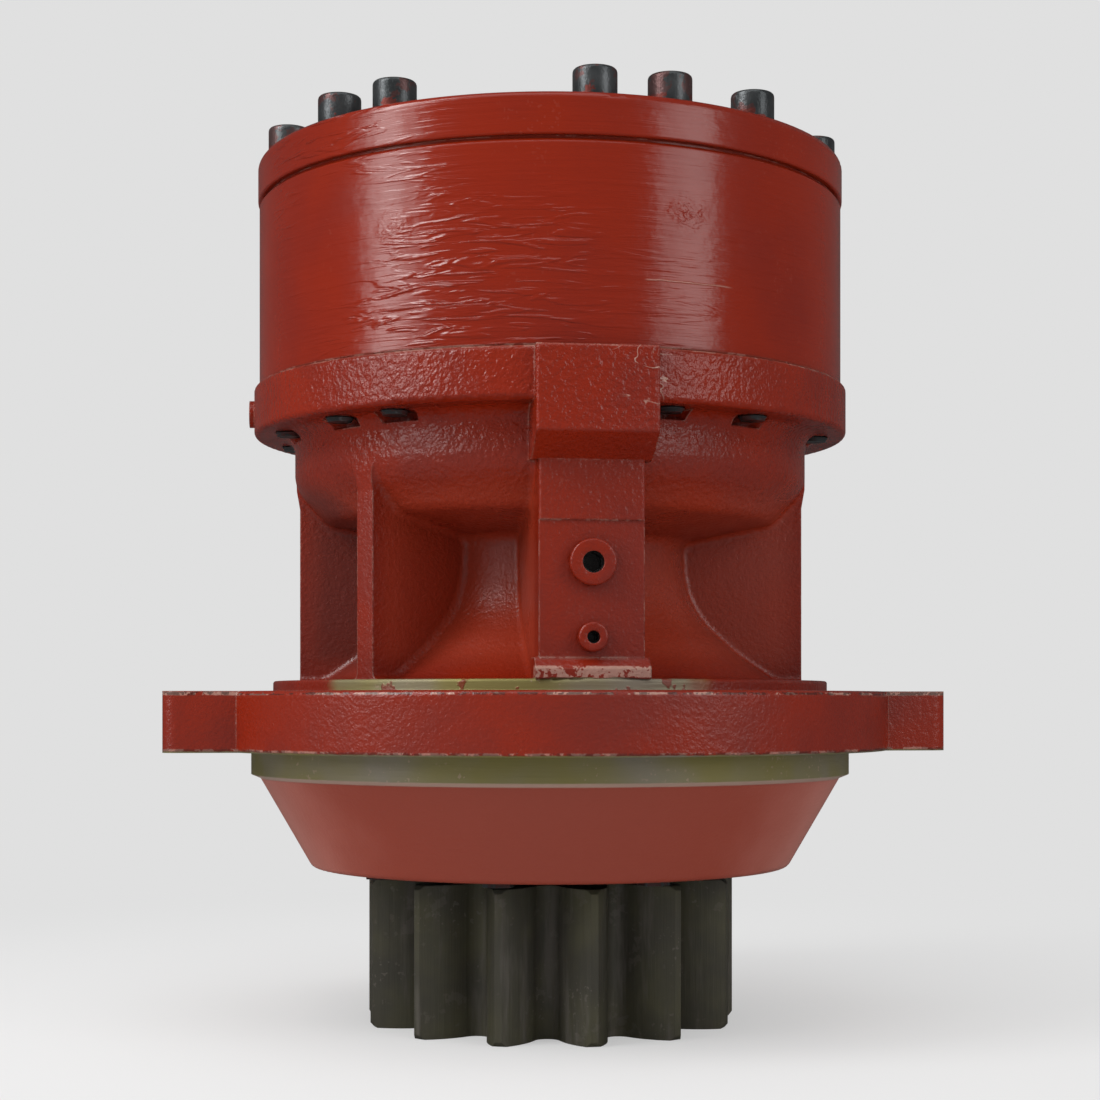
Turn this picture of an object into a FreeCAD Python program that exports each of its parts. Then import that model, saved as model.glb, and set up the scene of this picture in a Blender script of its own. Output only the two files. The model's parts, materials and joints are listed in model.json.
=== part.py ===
import FreeCAD, Part
import math
import os

# Swing gearbox: a two-stage planetary reducer with its output pinion pointing down.
# Millimetres, +Z up along the gearbox axis. The origin is on the axis at the seat of the mounting flange.
# Azimuths are measured in degrees from the front (-Y), positive towards +X.

V = FreeCAD.Vector
Z_AXIS = V(0, 0, 1)

# Clearances between pieces
press_gap = 0.02
run_gap = 0.05
spigot_gap = 0.1
race_gap = 0.3
spline_gap = 0.2
loose_gap = 0.3

# Output pinion
pinion_module = 14.0
pinion_teeth = 13
pinion_shift = 0.5
pinion_bottom_z = -163.5
pinion_top_z = -76.0
pinion_turn = 4.8
pinion_edge = 2.5
pressure_angle = math.radians(20)

# Mounting flange, its pilot and the cone under it
pilot_r = 180.0
pilot_length = 14.4
flange_r = 204.0
flange_height = 34.5
left_ear_tip = 228.5
right_ear_tip = 223.5
ear_half_width = 80.0
ear_corner_r = 8.0
raised_ring_r = 167.0
raised_ring_height = 6.2
flange_hole_r = 11.0
flange_hole_x = 197.0
flange_hole_y = 56.0
flange_middle_hole_x = 203.0
cone_top_r = 174.5
cone_top_z = -16.7
cone_bottom_r = 143.7
cone_bottom_z = -70.2
cone_corner_r = 5.0

# Neck and bowl of the casting; the neck flares out to the raised ring
neck_r = 80.0
neck_wall = 14.0
neck_top_z = 124.0
neck_corner_r = 8.0
flare_foot_reach = 56.0
flare_foot_r = 14.0
flare_middle_reach = 34.0
flare_middle_rise = 15.0
flare_middle_r = 60.0
flare_top_reach = 2.0
flare_top_rise = 44.0
flare_top_r = 55.0
bowl_r = 154.0
bowl_wall = 13.0
bowl_floor_reach = 54.0
bowl_floor_rise = 11.0
bowl_floor_r = 14.0
bowl_shoulder_z = 156.0
bowl_shoulder_r = 22.0
bowl_top_r = 10.0
bowl_inside_taper = 8.0
floor_depth = 20.0
seat_wall = 14.0
seat_shoulder = 4.0
inner_corner_r = 8.0
upper_flange_bottom_z = 186.3
upper_flange_top_z = 214.7
upper_flange_proud = 3.1

# Ribs, the pad for the plugs and the boss over it
rib_azimuths = (-100.0, -50.4, 80.0, 130.0, 180.0)
rib_setback = 2.0
rib_thickness = 12.8
rib_root_r = 72.0
blade_spare = 10.0
root_blend_r = 4.0
pad_proud = 6.0
pad_width = 57.0
pad_edge_r = 1.5
machined_depth = 1.2
machined_bottom_z = 52.0
machined_top_z = 125.0
foot_width = 62.0
foot_reach = 4.8
foot_edge_z = 46.0
boss_width = 65.4
boss_proud = 4.6
boss_root_z = 157.0
boss_bottom_z = 169.4
boss_edge_r = 1.5
boss_back_y = -148.0
side_boss_azimuth = -93.0
side_boss_z = 201.0
side_boss_r = 8.0
side_boss_proud = 3.0

# Ports on the pad
drain_port_z = 102.4
drain_thread_r = 9.0
drain_collar_r = 12.5
drain_hex = 12.0
level_port_z = 62.7
level_thread_r = 5.5
level_collar_r = 8.0
level_hex = 6.0
plug_depth = 14.0
plug_collar_height = 5.0
washer_height = 1.5
washer_inset = 0.6
passage_r = 4.0

# Ring gear, cover and the screws that clamp them
ring_wall = 35.0
ring_top_z = 323.5
ring_edge = 1.8
ring_relief = 6.125
ring_teeth_bottom_z = 222.0
ring_teeth_top_z = 315.0
cover_proud = 0.8
cover_top_z = 348.0
cover_edge_r = 3.5
cover_groove_height = 1.8
cover_groove_depth = 4.2
cover_spigot = 4.5
o_ring_land = 3.0
o_ring_width = 4.0
o_ring_depth = 3.0
screw_edge_distance = 15.4
screw_r = 8.0
screw_hole_r = 8.75
screw_head_r = 12.0
screw_head_height = 16.0
screw_hex = 14.0
screw_tip = 4.0
screw_azimuths = (-81.2, -55.0, -39.8, 0.6, 15.8, 36.5, 73.8)
notch_r = 13.0
notch_depth = 5.5
dowel_r = 6.0
dowel_half_length = 12.0
dowel_hole_depth = 14.0
dowel_azimuths = (-20.0, 160.0)

# Motor seat on the cover
motor_pilot_r = 80.0
motor_pilot_depth = 12.0
cover_bore_r = 62.0
motor_pad_r = 122.0
motor_pad_height = 3.0
motor_screw_pcd = 200.0
motor_screw_count = 4
motor_screw_hole_r = 7.0
motor_screw_depth = 21.0

# Gear train
train_module = 4.5
ring_teeth = 57
first_sun_teeth = 15
first_planet_teeth = 21
second_sun_teeth = 21
second_planet_teeth = 18
planet_count = 3
planet_azimuth = 180.0
backlash = 0.35
first_bottom_z = 284.0
first_top_z = 312.0
second_bottom_z = 226.0
second_top_z = 264.0
first_pin_r = 20.0
second_pin_r = 18.0
bush_wall = 4.5
end_play = 0.1
clip_height = 2.4
clip_wall = 4.0
pin_end = 1.5
carrier_r = 117.0
first_carrier_bottom_z = 271.0
first_carrier_top_z = 281.0
second_carrier_bottom_z = 198.0
second_carrier_top_z = 222.0
second_hub_r = 62.0
second_hub_bottom_z = 187.0

# Output shaft, its bearings and seal
seal_seat_r = 62.0
lower_bore_r = 55.0
lower_bearing_r = 100.0
lower_bearing_bottom_z = -38.0
lower_bearing_height = 53.0
lower_roller_r = 9.0
lower_roller_count = 20
shaft_middle_r = 52.0
upper_bore_r = 45.0
upper_bearing_r = 80.0
upper_bearing_bottom_z = 132.0
upper_bearing_height = 40.0
upper_roller_r = 7.5
upper_roller_count = 18
locknut_r = 60.0
locknut_height = 12.0
locknut_slots = 4
carrier_spline_r = 42.0
spline_depth = 3.0
carrier_spline_teeth = 20
end_plate_height = 10.0
end_plate_r = 52.0
end_screw_pcd = 44.0
end_screw_count = 3
end_screw_r = 5.0
end_screw_head_r = 8.0
end_screw_head_height = 6.0
end_screw_length = 30.0
thrust_disc_r = 24.0
sun_spline_r = 31.0
sun_spline_teeth = 16
socket_r = 20.0
socket_depth = 2.5
socket_teeth = 16
socket_length = 44.0
input_hub_r = 29.0
input_top_z = 336.0
retainer_r = 128.0
retainer_height = 9.0
retainer_screw_pcd = 228.0
retainer_screw_count = 8
retainer_screw_azimuth = 22.5
retainer_screw_r = 5.0
retainer_screw_length = 25.0
retainer_screw_hex = 16.0
retainer_head_height = 4.0
seal_outer_r = 80.0
seal_height = 13.0
seal_sleeve_wall = 4.0


def polar(r, azimuth, z=0.0):
    a = math.radians(azimuth)
    return V(r * math.sin(a), -r * math.cos(a), z)


def cylinder(r, z0, z1, centre=V(0, 0, 0)):
    return Part.makeCylinder(r, z1 - z0, V(centre.x, centre.y, z0))


def ring(r_in, r_out, z0, z1, centre=V(0, 0, 0)):
    return cylinder(r_out, z0, z1, centre).cut(cylinder(r_in, z0 - 1, z1 + 1, centre))


def box(x0, x1, y0, y1, z0, z1):
    return Part.makeBox(x1 - x0, y1 - y0, z1 - z0, V(x0, y0, z0))


def turned(shape, azimuth, centre=V(0, 0, 0)):
    """A copy turned about the vertical line through centre; azimuth grows from -Y towards +X."""
    copy = shape.copy()
    copy.rotate(centre, Z_AXIS, azimuth)
    return copy


def round_plane(points):
    """Closed outline in the radius-height plane. A step of two pairs is an arc (via, end)."""
    edges = []
    here = points[0]
    at = lambda p: V(p[0], 0, p[1])
    for step in points[1:] + [points[0]]:
        if isinstance(step[0], tuple):
            via, end = step
            edges.append(Part.Arc(at(here), at(via), at(end)).toShape())
        else:
            end = step
            if at(here).distanceToPoint(at(end)) < 1e-6:
                continue
            edges.append(Part.LineSegment(at(here), at(end)).toShape())
        here = end
    return Part.Face(Part.Wire(edges))


def revolved(points):
    return round_plane(points).revolve(V(0, 0, 0), Z_AXIS, 360)


def corner_arc(before, corner, after, radius):
    """Entry point and (via, end) arc that round a corner of an outline."""
    b, c, a = (V(p[0], 0, p[1]) for p in (before, corner, after))
    to_b = (b - c).normalize()
    to_a = (a - c).normalize()
    half = to_b.getAngle(to_a) / 2
    reach = radius / math.tan(half)
    middle = (to_b + to_a).normalize() * (radius / math.sin(half) - radius)
    start, via, end = c + to_b * reach, c + middle, c + to_a * reach
    return (start.x, start.z), ((via.x, via.z), (end.x, end.z))


def rounded_outline(corners):
    """Closed outline from (r, z) or (r, z, corner radius) corners."""
    out = []
    count = len(corners)
    for i, corner in enumerate(corners):
        if len(corner) == 3:
            before, after = corners[i - 1], corners[(i + 1) % count]
            out.extend(corner_arc(before[:2], corner[:2], after[:2], corner[2]))
        else:
            out.append(corner)
    return out


def upright(edge):
    size = edge.BoundBox
    return size.ZLength > 1 and size.XLength < 0.01 and size.YLength < 0.01


def fused(shapes):
    return shapes[0].multiFuse(shapes[1:]).removeSplitter()


def hexagon(across_flats, z0, z1):
    r = across_flats / 2 / math.cos(math.pi / 6)
    points = [polar(r, 60 * i, z0) for i in range(7)]
    return Part.Face(Part.makePolygon(points)).extrude(V(0, 0, z1 - z0))


def involute(angle):
    return math.tan(angle) - angle


def half_tooth_angle(r, module, teeth, shift, thinning):
    """Half the angle that a tooth of an external gear takes at radius r."""
    base_r = module * teeth / 2 * math.cos(pressure_angle)
    pitch_r = module * teeth / 2
    at_pitch = (math.pi / 2 + 2 * shift * math.tan(pressure_angle)) / teeth - thinning / (2 * pitch_r)
    at_r = math.acos(min(1.0, base_r / max(r, base_r)))
    return at_pitch + involute(pressure_angle) - involute(at_r)


def on_circle(r, angle):
    return V(r * math.cos(angle), r * math.sin(angle), 0)


def arc_edge(a, via, b):
    return Part.Arc(a, via, b).toShape()


def tooth_outline(teeth, half_angle, inner_r, outer_r, inner_start, round_root=False):
    """Closed toothed outline; half_angle(r) is half a tooth's angle. Teeth point outwards, the first along +X."""
    middle_r = (inner_start + outer_r) / 2
    pitch = 2 * math.pi / teeth
    edges = []
    for i in range(teeth):
        a = i * pitch
        corner = half_angle(inner_start)
        rising = [on_circle(r, a - half_angle(r)) for r in (inner_start, middle_r, outer_r)]
        falling = [on_circle(r, a + half_angle(r)) for r in (outer_r, middle_r, inner_start)]
        next_start = on_circle(inner_start, a + pitch - corner)
        valley = on_circle(inner_r, a + pitch / 2)
        edges.append(arc_edge(*rising))
        edges.append(arc_edge(rising[2], on_circle(outer_r, a), falling[0]))
        edges.append(arc_edge(*falling))
        if round_root:
            edges.append(arc_edge(falling[2], valley, next_start))
            continue
        foot = on_circle(inner_r, a + corner)
        next_foot = on_circle(inner_r, a + pitch - corner)
        if inner_start - inner_r > 1e-6:
            edges.append(Part.LineSegment(falling[2], foot).toShape())
        edges.append(arc_edge(foot, valley, next_foot))
        if inner_start - inner_r > 1e-6:
            edges.append(Part.LineSegment(next_foot, next_start).toShape())
    return Part.Face(Part.Wire(edges))


def toothed_prism(face, z0, z1, first_azimuth):
    prism = face.extrude(V(0, 0, z1 - z0))
    prism.translate(V(0, 0, z0))
    prism.rotate(V(0, 0, 0), Z_AXIS, first_azimuth - 90)
    return prism


def train_gear(teeth, z0, z1, first_azimuth):
    """External gear of the train with a tooth along first_azimuth."""
    pitch_r = train_module * teeth / 2
    base_r = pitch_r * math.cos(pressure_angle)
    root_r = pitch_r - 1.25 * train_module
    half = lambda r: half_tooth_angle(r, train_module, teeth, 0, backlash)
    face = tooth_outline(teeth, half, root_r, pitch_r + train_module, max(root_r, base_r))
    return toothed_prism(face, z0, z1, first_azimuth)


def ring_gear_space(z0, z1, first_azimuth):
    """What a ring gear's teeth leave free, with a tooth space along first_azimuth."""
    pitch_r = train_module * ring_teeth / 2
    half = lambda r: half_tooth_angle(r, train_module, ring_teeth, 0, -backlash)
    inner = pitch_r - train_module
    face = tooth_outline(ring_teeth, half, inner, pitch_r + 1.25 * train_module, inner)
    return toothed_prism(face, z0, z1, first_azimuth)


def spline_outline(teeth, outer_r, depth, gap=0.0):
    """Straight-sided spline; gap widens it all round for the hollow half."""
    pitch = 2 * math.pi / teeth
    middle_r = outer_r - depth / 2
    slope = 0.25 * pitch / depth
    half = lambda r: pitch / 4 + gap / middle_r - slope * (r - middle_r) * 0.5
    face_r = outer_r + gap
    foot_r = outer_r - depth + gap
    return tooth_outline(teeth, half, foot_r, face_r, foot_r)


def spline(teeth, outer_r, depth, z0, z1, gap=0.0):
    return toothed_prism(spline_outline(teeth, outer_r, depth, gap), z0, z1, 0)


def around(shape, azimuths):
    return Part.makeCompound([turned(shape, a) for a in azimuths])


def every(count, start=0.0):
    return [start + 360.0 * i / count for i in range(count)]


# Sizes that follow from the driving dimensions

all_screw_azimuths = [a + half_turn for a in screw_azimuths for half_turn in (0, 180)]
planet_azimuths = every(planet_count, planet_azimuth)
first_centre_r = train_module * (first_sun_teeth + first_planet_teeth) / 2
second_centre_r = train_module * (second_sun_teeth + second_planet_teeth) / 2
ring_tip_r = train_module * (ring_teeth / 2 - 1)
lower_bearing_top_z = lower_bearing_bottom_z + lower_bearing_height
upper_bearing_top_z = upper_bearing_bottom_z + upper_bearing_height
retainer_top_z = cone_bottom_z + retainer_height
raised_ring_top_z = flange_height + raised_ring_height
ring_relief_r = train_module * (ring_teeth / 2 + 1.25) + ring_relief
ring_outer_r = ring_relief_r + ring_wall
screw_circle_r = ring_outer_r - screw_edge_distance
cover_r = ring_outer_r + cover_proud
groove_r = cover_r - cover_groove_depth
rib_reach = bowl_r - rib_setback
blade_reach = bowl_r + blade_spare
pad_face_y = -bowl_r - pad_proud
groove_top_z = ring_top_z + cover_groove_height
upper_flange_r = ring_outer_r + upper_flange_proud
boss_face_y = -upper_flange_r - boss_proud
cast_face_y = pad_face_y - machined_depth
o_ring_inner_r = ring_relief_r + o_ring_land
neck_bore_r = neck_r - neck_wall
bowl_inner_r = bowl_r - bowl_wall - bowl_inside_taper
pinion_pitch_r = pinion_module * pinion_teeth / 2
pinion_tip_r = pinion_pitch_r + pinion_module * (1 + pinion_shift)
pinion_root_r = pinion_pitch_r - pinion_module * (1.25 - pinion_shift)
screw_under_head_z = cover_top_z
screw_end_z = upper_flange_bottom_z - screw_tip
motor_face_z = cover_top_z + motor_pad_height
seat_top_z = upper_bearing_top_z + seat_shoulder
bowl_inner_floor_z = neck_top_z + floor_depth + seat_shoulder
shaft_top_z = second_carrier_top_z - end_plate_height


# Casting

def casting_body():
    """The turned form of the casting, from the cone's bottom to the upper flange, with its bores."""
    spigot_r = ring_relief_r - spigot_gap
    spigot_floor_z = ring_teeth_bottom_z - 1.5
    seat_r = upper_bearing_r + seat_wall
    lower_shoulder_r = lower_bearing_r - 8
    outline = rounded_outline([
        (retainer_r + spigot_gap, cone_bottom_z),
        (cone_bottom_r, cone_bottom_z, cone_corner_r),
        (cone_top_r, cone_top_z),
        (pilot_r, -pilot_length),
        (pilot_r, 0),
        (flange_r, 0, 1.5),
        (flange_r, flange_height, 3),
        (raised_ring_r, flange_height),
        (raised_ring_r, raised_ring_top_z, 1.5),
        (neck_r + flare_foot_reach, raised_ring_top_z, flare_foot_r),
        (neck_r + flare_middle_reach, raised_ring_top_z + flare_middle_rise, flare_middle_r),
        (neck_r + flare_top_reach, raised_ring_top_z + flare_top_rise, flare_top_r),
        (neck_r, neck_top_z, neck_corner_r),
        (neck_r + bowl_floor_reach, neck_top_z + bowl_floor_rise, bowl_floor_r),
        (bowl_r, bowl_shoulder_z, bowl_shoulder_r),
        (bowl_r, upper_flange_bottom_z, bowl_top_r),
        (upper_flange_r, upper_flange_bottom_z, 3),
        (upper_flange_r, upper_flange_top_z, 2),
        (spigot_r, upper_flange_top_z),
        (spigot_r, spigot_floor_z),
        (bowl_inner_r, spigot_floor_z),
        (bowl_inner_r, upper_flange_bottom_z, inner_corner_r),
        (bowl_inner_r - 2, bowl_inner_floor_z + 6, inner_corner_r),
        (seat_r, bowl_inner_floor_z, inner_corner_r),
        (seat_r, seat_top_z, 3),
        (upper_bearing_r + press_gap, seat_top_z),
        (upper_bearing_r + press_gap, upper_bearing_bottom_z),
        (neck_bore_r, upper_bearing_bottom_z),
        (neck_bore_r, lower_bearing_top_z + 12, 5),
        (lower_shoulder_r, lower_bearing_top_z + 8, 5),
        (lower_shoulder_r, lower_bearing_top_z),
        (lower_bearing_r + press_gap, lower_bearing_top_z),
        (lower_bearing_r + press_gap, retainer_top_z),
        (retainer_r + spigot_gap, retainer_top_z),
    ])
    return revolved(outline)


def flange_ears():
    ears = box(-left_ear_tip, right_ear_tip, -ear_half_width, ear_half_width, 0, flange_height)
    ears = ears.makeFillet(ear_corner_r, [e for e in ears.Edges if upright(e)])
    return ears.cut(cylinder(raised_ring_r, -1, flange_height + 1))


def inner_space():
    """The space over the bowl's floor and round the bearing's seat, which ribs and pad stay out of."""
    seat_r = upper_bearing_r + seat_wall / 2
    hollow_r = bowl_r - bowl_wall - bowl_inside_taper / 2 - 2
    low_z, floor_z, top_z = upper_bearing_bottom_z - 0.1, neck_top_z + floor_depth, upper_flange_top_z + 1
    return revolved([(0, low_z), (seat_r, low_z), (seat_r, floor_z), (hollow_r, floor_z), (hollow_r, top_z), (0, top_z)])


def blade(half_width, azimuth):
    """An upright wall out of the neck, longer than it ends up, so that its roots can be blended first."""
    low_z, high_z = flange_height + raised_ring_height / 2, upper_flange_bottom_z + 4
    wall = box(-half_width, half_width, -blade_reach, -rib_root_r, low_z, high_z)
    return turned(wall.cut(inner_space()), azimuth)


def root_edges(shape):
    """The edges where one upright flat side of a blade meets the turned casting."""
    owners = {}
    for face in shape.Faces:
        for edge in face.Edges:
            owners.setdefault(edge.hashCode(), []).append(face)
    roots = []
    for edge in shape.Edges:
        faces = owners[edge.hashCode()]
        sides = [f for f in faces if isinstance(f.Surface, Part.Plane) and abs(f.Surface.Axis.z) < 0.01]
        middle = edge.valueAt((edge.FirstParameter + edge.LastParameter) / 2)
        in_reach = math.hypot(middle.x, middle.y) < blade_reach - 0.5
        in_height = raised_ring_top_z - 0.01 < middle.z < upper_flange_bottom_z + 0.01
        if len(faces) == 2 and len(sides) == 1 and in_reach and in_height:
            roots.append(edge)
    return roots


def blade_trim():
    """What comes off the ribs outside their reach, following the bowl and the flange over it."""
    skim = 0.1
    outside_r = flange_r
    outside = revolved(rounded_outline([
        (rib_reach, raised_ring_top_z),
        (outside_r, raised_ring_top_z),
        (outside_r, upper_flange_bottom_z),
        (bowl_r - skim, upper_flange_bottom_z, bowl_top_r),
        (bowl_r - skim, bowl_shoulder_z),
        (rib_reach, bowl_shoulder_z - bowl_shoulder_r / 2),
    ]))
    half = pad_width / 2
    beside = half + root_blend_r + 1
    pad_sector = box(-beside, beside, -outside_r, 0, raised_ring_top_z - 1, upper_flange_bottom_z + 1)
    column = box(-half, half, cast_face_y, 0, raised_ring_top_z, upper_flange_bottom_z)
    column = column.makeFillet(pad_edge_r, [e for e in column.Edges if upright(e) and e.BoundBox.YMax < -1])
    before_pad = box(-beside, beside, -outside_r, cast_face_y + pad_edge_r, raised_ring_top_z, upper_flange_bottom_z)
    return outside.cut(pad_sector).fuse(before_pad.cut(column))


def ribbed_casting():
    """The turned casting with its ribs and the pad's column grown out of it and blended in."""
    blades = [blade(rib_thickness / 2, a) for a in rib_azimuths]
    blades.append(blade(pad_width / 2, 0))
    shape = fused([casting_body()] + blades)
    shape = shape.makeFillet(root_blend_r, root_edges(shape))
    return shape.cut(blade_trim())


def side_profile(points, width):
    """A block across the front: its outline in (y, z), centred on the pad."""
    outline = Part.makePolygon([V(-width / 2, y, z) for y, z in points + points[:1]])
    return Part.Face(outline).extrude(V(width, 0, 0))


def pad_boss():
    """Square boss on the upper flange over the pad, with a sloped underside."""
    block = side_profile([
        (boss_back_y, boss_root_z), (cast_face_y, boss_root_z), (boss_face_y, boss_bottom_z),
        (boss_face_y, upper_flange_top_z), (boss_back_y, upper_flange_top_z),
    ], boss_width)
    front = [e for e in block.Edges if abs(e.BoundBox.YMax - boss_face_y) < 0.01]
    return block.makeFillet(boss_edge_r, front)


def pad_foot():
    """Ledge at the foot of the pad."""
    foot_y = cast_face_y - foot_reach
    return side_profile([
        (boss_back_y, raised_ring_top_z), (foot_y, raised_ring_top_z), (foot_y, foot_edge_z),
        (cast_face_y + 1, machined_bottom_z), (boss_back_y, machined_bottom_z),
    ], foot_width)


def port(z, thread_r, depth):
    """A plug's hole from the pad's face, with a narrow passage on to the hollow inside."""
    hole = Part.makeCylinder(thread_r, depth + 4, V(0, pad_face_y - 1, z), V(0, 1, 0))
    passage = Part.makeCylinder(passage_r, -pad_face_y - neck_bore_r + 6, V(0, pad_face_y, z), V(0, 1, 0))
    return [hole, passage]


def lower_housing():
    side_boss = Part.makeCylinder(
        side_boss_r, 12 + side_boss_proud, V(0, -upper_flange_r + 12, side_boss_z), V(0, -1, 0)
    )
    shape = fused([ribbed_casting(), flange_ears(), pad_boss(), pad_foot(), turned(side_boss, side_boss_azimuth)])
    cuts = [box(-pad_width, pad_width, cast_face_y - 1, pad_face_y, machined_bottom_z, machined_top_z)]
    cuts += port(drain_port_z, drain_thread_r, plug_depth) + port(level_port_z, level_thread_r, plug_depth)
    for azimuth in all_screw_azimuths:
        at = polar(screw_circle_r, azimuth)
        cuts.append(cylinder(screw_r + press_gap, upper_flange_bottom_z - 1, upper_flange_top_z + 1, at))
        cuts.append(cylinder(notch_r, upper_flange_bottom_z - notch_depth, upper_flange_bottom_z, at))
    for azimuth in dowel_azimuths:
        at = polar(screw_circle_r, azimuth)
        cuts.append(cylinder(dowel_r + press_gap, upper_flange_top_z - dowel_hole_depth, upper_flange_top_z + 1, at))
    for side in (-1, 1):
        cuts.append(cylinder(flange_hole_r, -1, flange_height + 1, V(side * flange_middle_hole_x, 0, 0)))
        for y in (-flange_hole_y, flange_hole_y):
            cuts.append(cylinder(flange_hole_r, -1, flange_height + 1, V(side * flange_hole_x, y, 0)))
    for azimuth in every(retainer_screw_count, retainer_screw_azimuth):
        at = polar(retainer_screw_pcd / 2, azimuth)
        cuts.append(cylinder(retainer_screw_r + press_gap, retainer_top_z - 1, retainer_top_z + 20, at))
    cuts.append(seal_groove(upper_flange_top_z - o_ring_depth - 0.05, upper_flange_top_z + 1))
    return shape.cut(Part.makeCompound(cuts))


# Seals between the stacked casings

def seal_groove(z0, z1):
    return ring(o_ring_inner_r - 0.2, o_ring_inner_r + o_ring_width + 0.2, z0, z1)


def o_ring(z0):
    bevel = 0.8
    low, high = o_ring_inner_r, o_ring_inner_r + o_ring_width
    top = z0 + o_ring_depth
    return revolved([
        (low + bevel, z0), (high - bevel, z0), (high, z0 + bevel), (high, top - bevel),
        (high - bevel, top), (low + bevel, top), (low, top - bevel), (low, z0 + bevel),
    ])


# Ring gear and cover

def ring_gear():
    body = revolved([
        (ring_relief_r, upper_flange_top_z),
        (ring_outer_r - 1, upper_flange_top_z),
        (ring_outer_r, upper_flange_top_z + 1),
        (ring_outer_r, ring_top_z - ring_edge),
        (ring_outer_r - ring_edge, ring_top_z),
        (ring_relief_r, ring_top_z),
        (ring_relief_r, ring_teeth_top_z),
        (ring_tip_r, ring_teeth_top_z),
        (ring_tip_r, ring_teeth_bottom_z),
        (ring_relief_r, ring_teeth_bottom_z),
    ])
    cuts = [ring_gear_space(ring_teeth_bottom_z - 2, ring_teeth_top_z + 2, planet_azimuth)]
    for azimuth in all_screw_azimuths:
        cuts.append(cylinder(screw_hole_r, upper_flange_top_z - 1, ring_top_z + 1, polar(screw_circle_r, azimuth)))
    for azimuth in dowel_azimuths:
        at = polar(screw_circle_r, azimuth)
        cuts.append(cylinder(dowel_r + press_gap, upper_flange_top_z - 1, upper_flange_top_z + dowel_hole_depth, at))
        cuts.append(cylinder(dowel_r + press_gap, ring_top_z - dowel_hole_depth, ring_top_z + 1, at))
    return body.cut(Part.makeCompound(cuts))


def top_cover():
    body = revolved(rounded_outline([
        (cover_bore_r, ring_top_z - cover_spigot),
        (ring_relief_r - spigot_gap, ring_top_z - cover_spigot),
        (ring_relief_r - spigot_gap, ring_top_z),
        (groove_r, ring_top_z),
        (groove_r, groove_top_z),
        (cover_r, groove_top_z, 1.0),
        (cover_r, cover_top_z, cover_edge_r),
        (motor_pad_r, cover_top_z),
        (motor_pad_r, motor_face_z, 1.0),
        (motor_pilot_r + 1, motor_face_z),
        (motor_pilot_r, motor_face_z - 1),
        (motor_pilot_r, motor_face_z - motor_pilot_depth),
        (cover_bore_r, motor_face_z - motor_pilot_depth),
    ]))
    cuts = [seal_groove(ring_top_z - 1, ring_top_z + o_ring_depth + 0.05)]
    for azimuth in all_screw_azimuths:
        cuts.append(cylinder(screw_hole_r, ring_top_z - 1, cover_top_z + 1, polar(screw_circle_r, azimuth)))
    for azimuth in dowel_azimuths:
        at = polar(screw_circle_r, azimuth)
        cuts.append(cylinder(dowel_r + press_gap, ring_top_z - 1, ring_top_z + dowel_hole_depth, at))
    for azimuth in every(motor_screw_count, 45):
        at = polar(motor_screw_pcd / 2, azimuth)
        cuts.append(cylinder(motor_screw_hole_r, motor_face_z - motor_screw_depth, motor_face_z + 1, at))
    return body.cut(Part.makeCompound(cuts))


def cap_screw():
    """One long socket-head screw at the front of the screw circle."""
    top = screw_under_head_z + screw_head_height
    body = revolved(rounded_outline([
        (0, screw_end_z),
        (screw_r - 1.5, screw_end_z),
        (screw_r, screw_end_z + 1.5),
        (screw_r, screw_under_head_z),
        (screw_head_r, screw_under_head_z),
        (screw_head_r, top, 1.2),
        (0, top),
    ]))
    body = body.cut(hexagon(screw_hex, top - 8, top + 1))
    body.translate(polar(screw_circle_r, 0))
    return body


def dowel_pins():
    half = dowel_half_length
    pin = lambda z: cylinder(dowel_r, z - half, z + half, polar(screw_circle_r, 0))
    return around(Part.makeCompound([pin(upper_flange_top_z), pin(ring_top_z)]), dowel_azimuths)


def plug(z, thread_r, collar_r, hex_size):
    """Hex-socket plug in the pad, standing on its washer."""
    collar = cylinder(collar_r, washer_height, washer_height + plug_collar_height)
    rim = [e for e in collar.Edges if e.BoundBox.ZMin > washer_height + 1 and e.BoundBox.ZLength < 0.01]
    shank = cylinder(thread_r - press_gap, -plug_depth, washer_height)
    body = collar.makeFillet(1.0, rim).fuse(shank).removeSplitter()
    socket_top = washer_height + plug_collar_height
    return on_pad(body.cut(hexagon(hex_size, socket_top - 7, socket_top + 1)), z)


def plug_washer(z, thread_r, collar_r):
    return on_pad(ring(thread_r + loose_gap, collar_r - washer_inset, 0, washer_height), z)


def on_pad(shape, z):
    """Moves a piece made about the Z axis onto the pad's face, pointing out of it."""
    shape.rotate(V(0, 0, 0), V(1, 0, 0), 90)
    shape.translate(V(0, pad_face_y, z))
    return shape


# Bearings, seal and retainer

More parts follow.
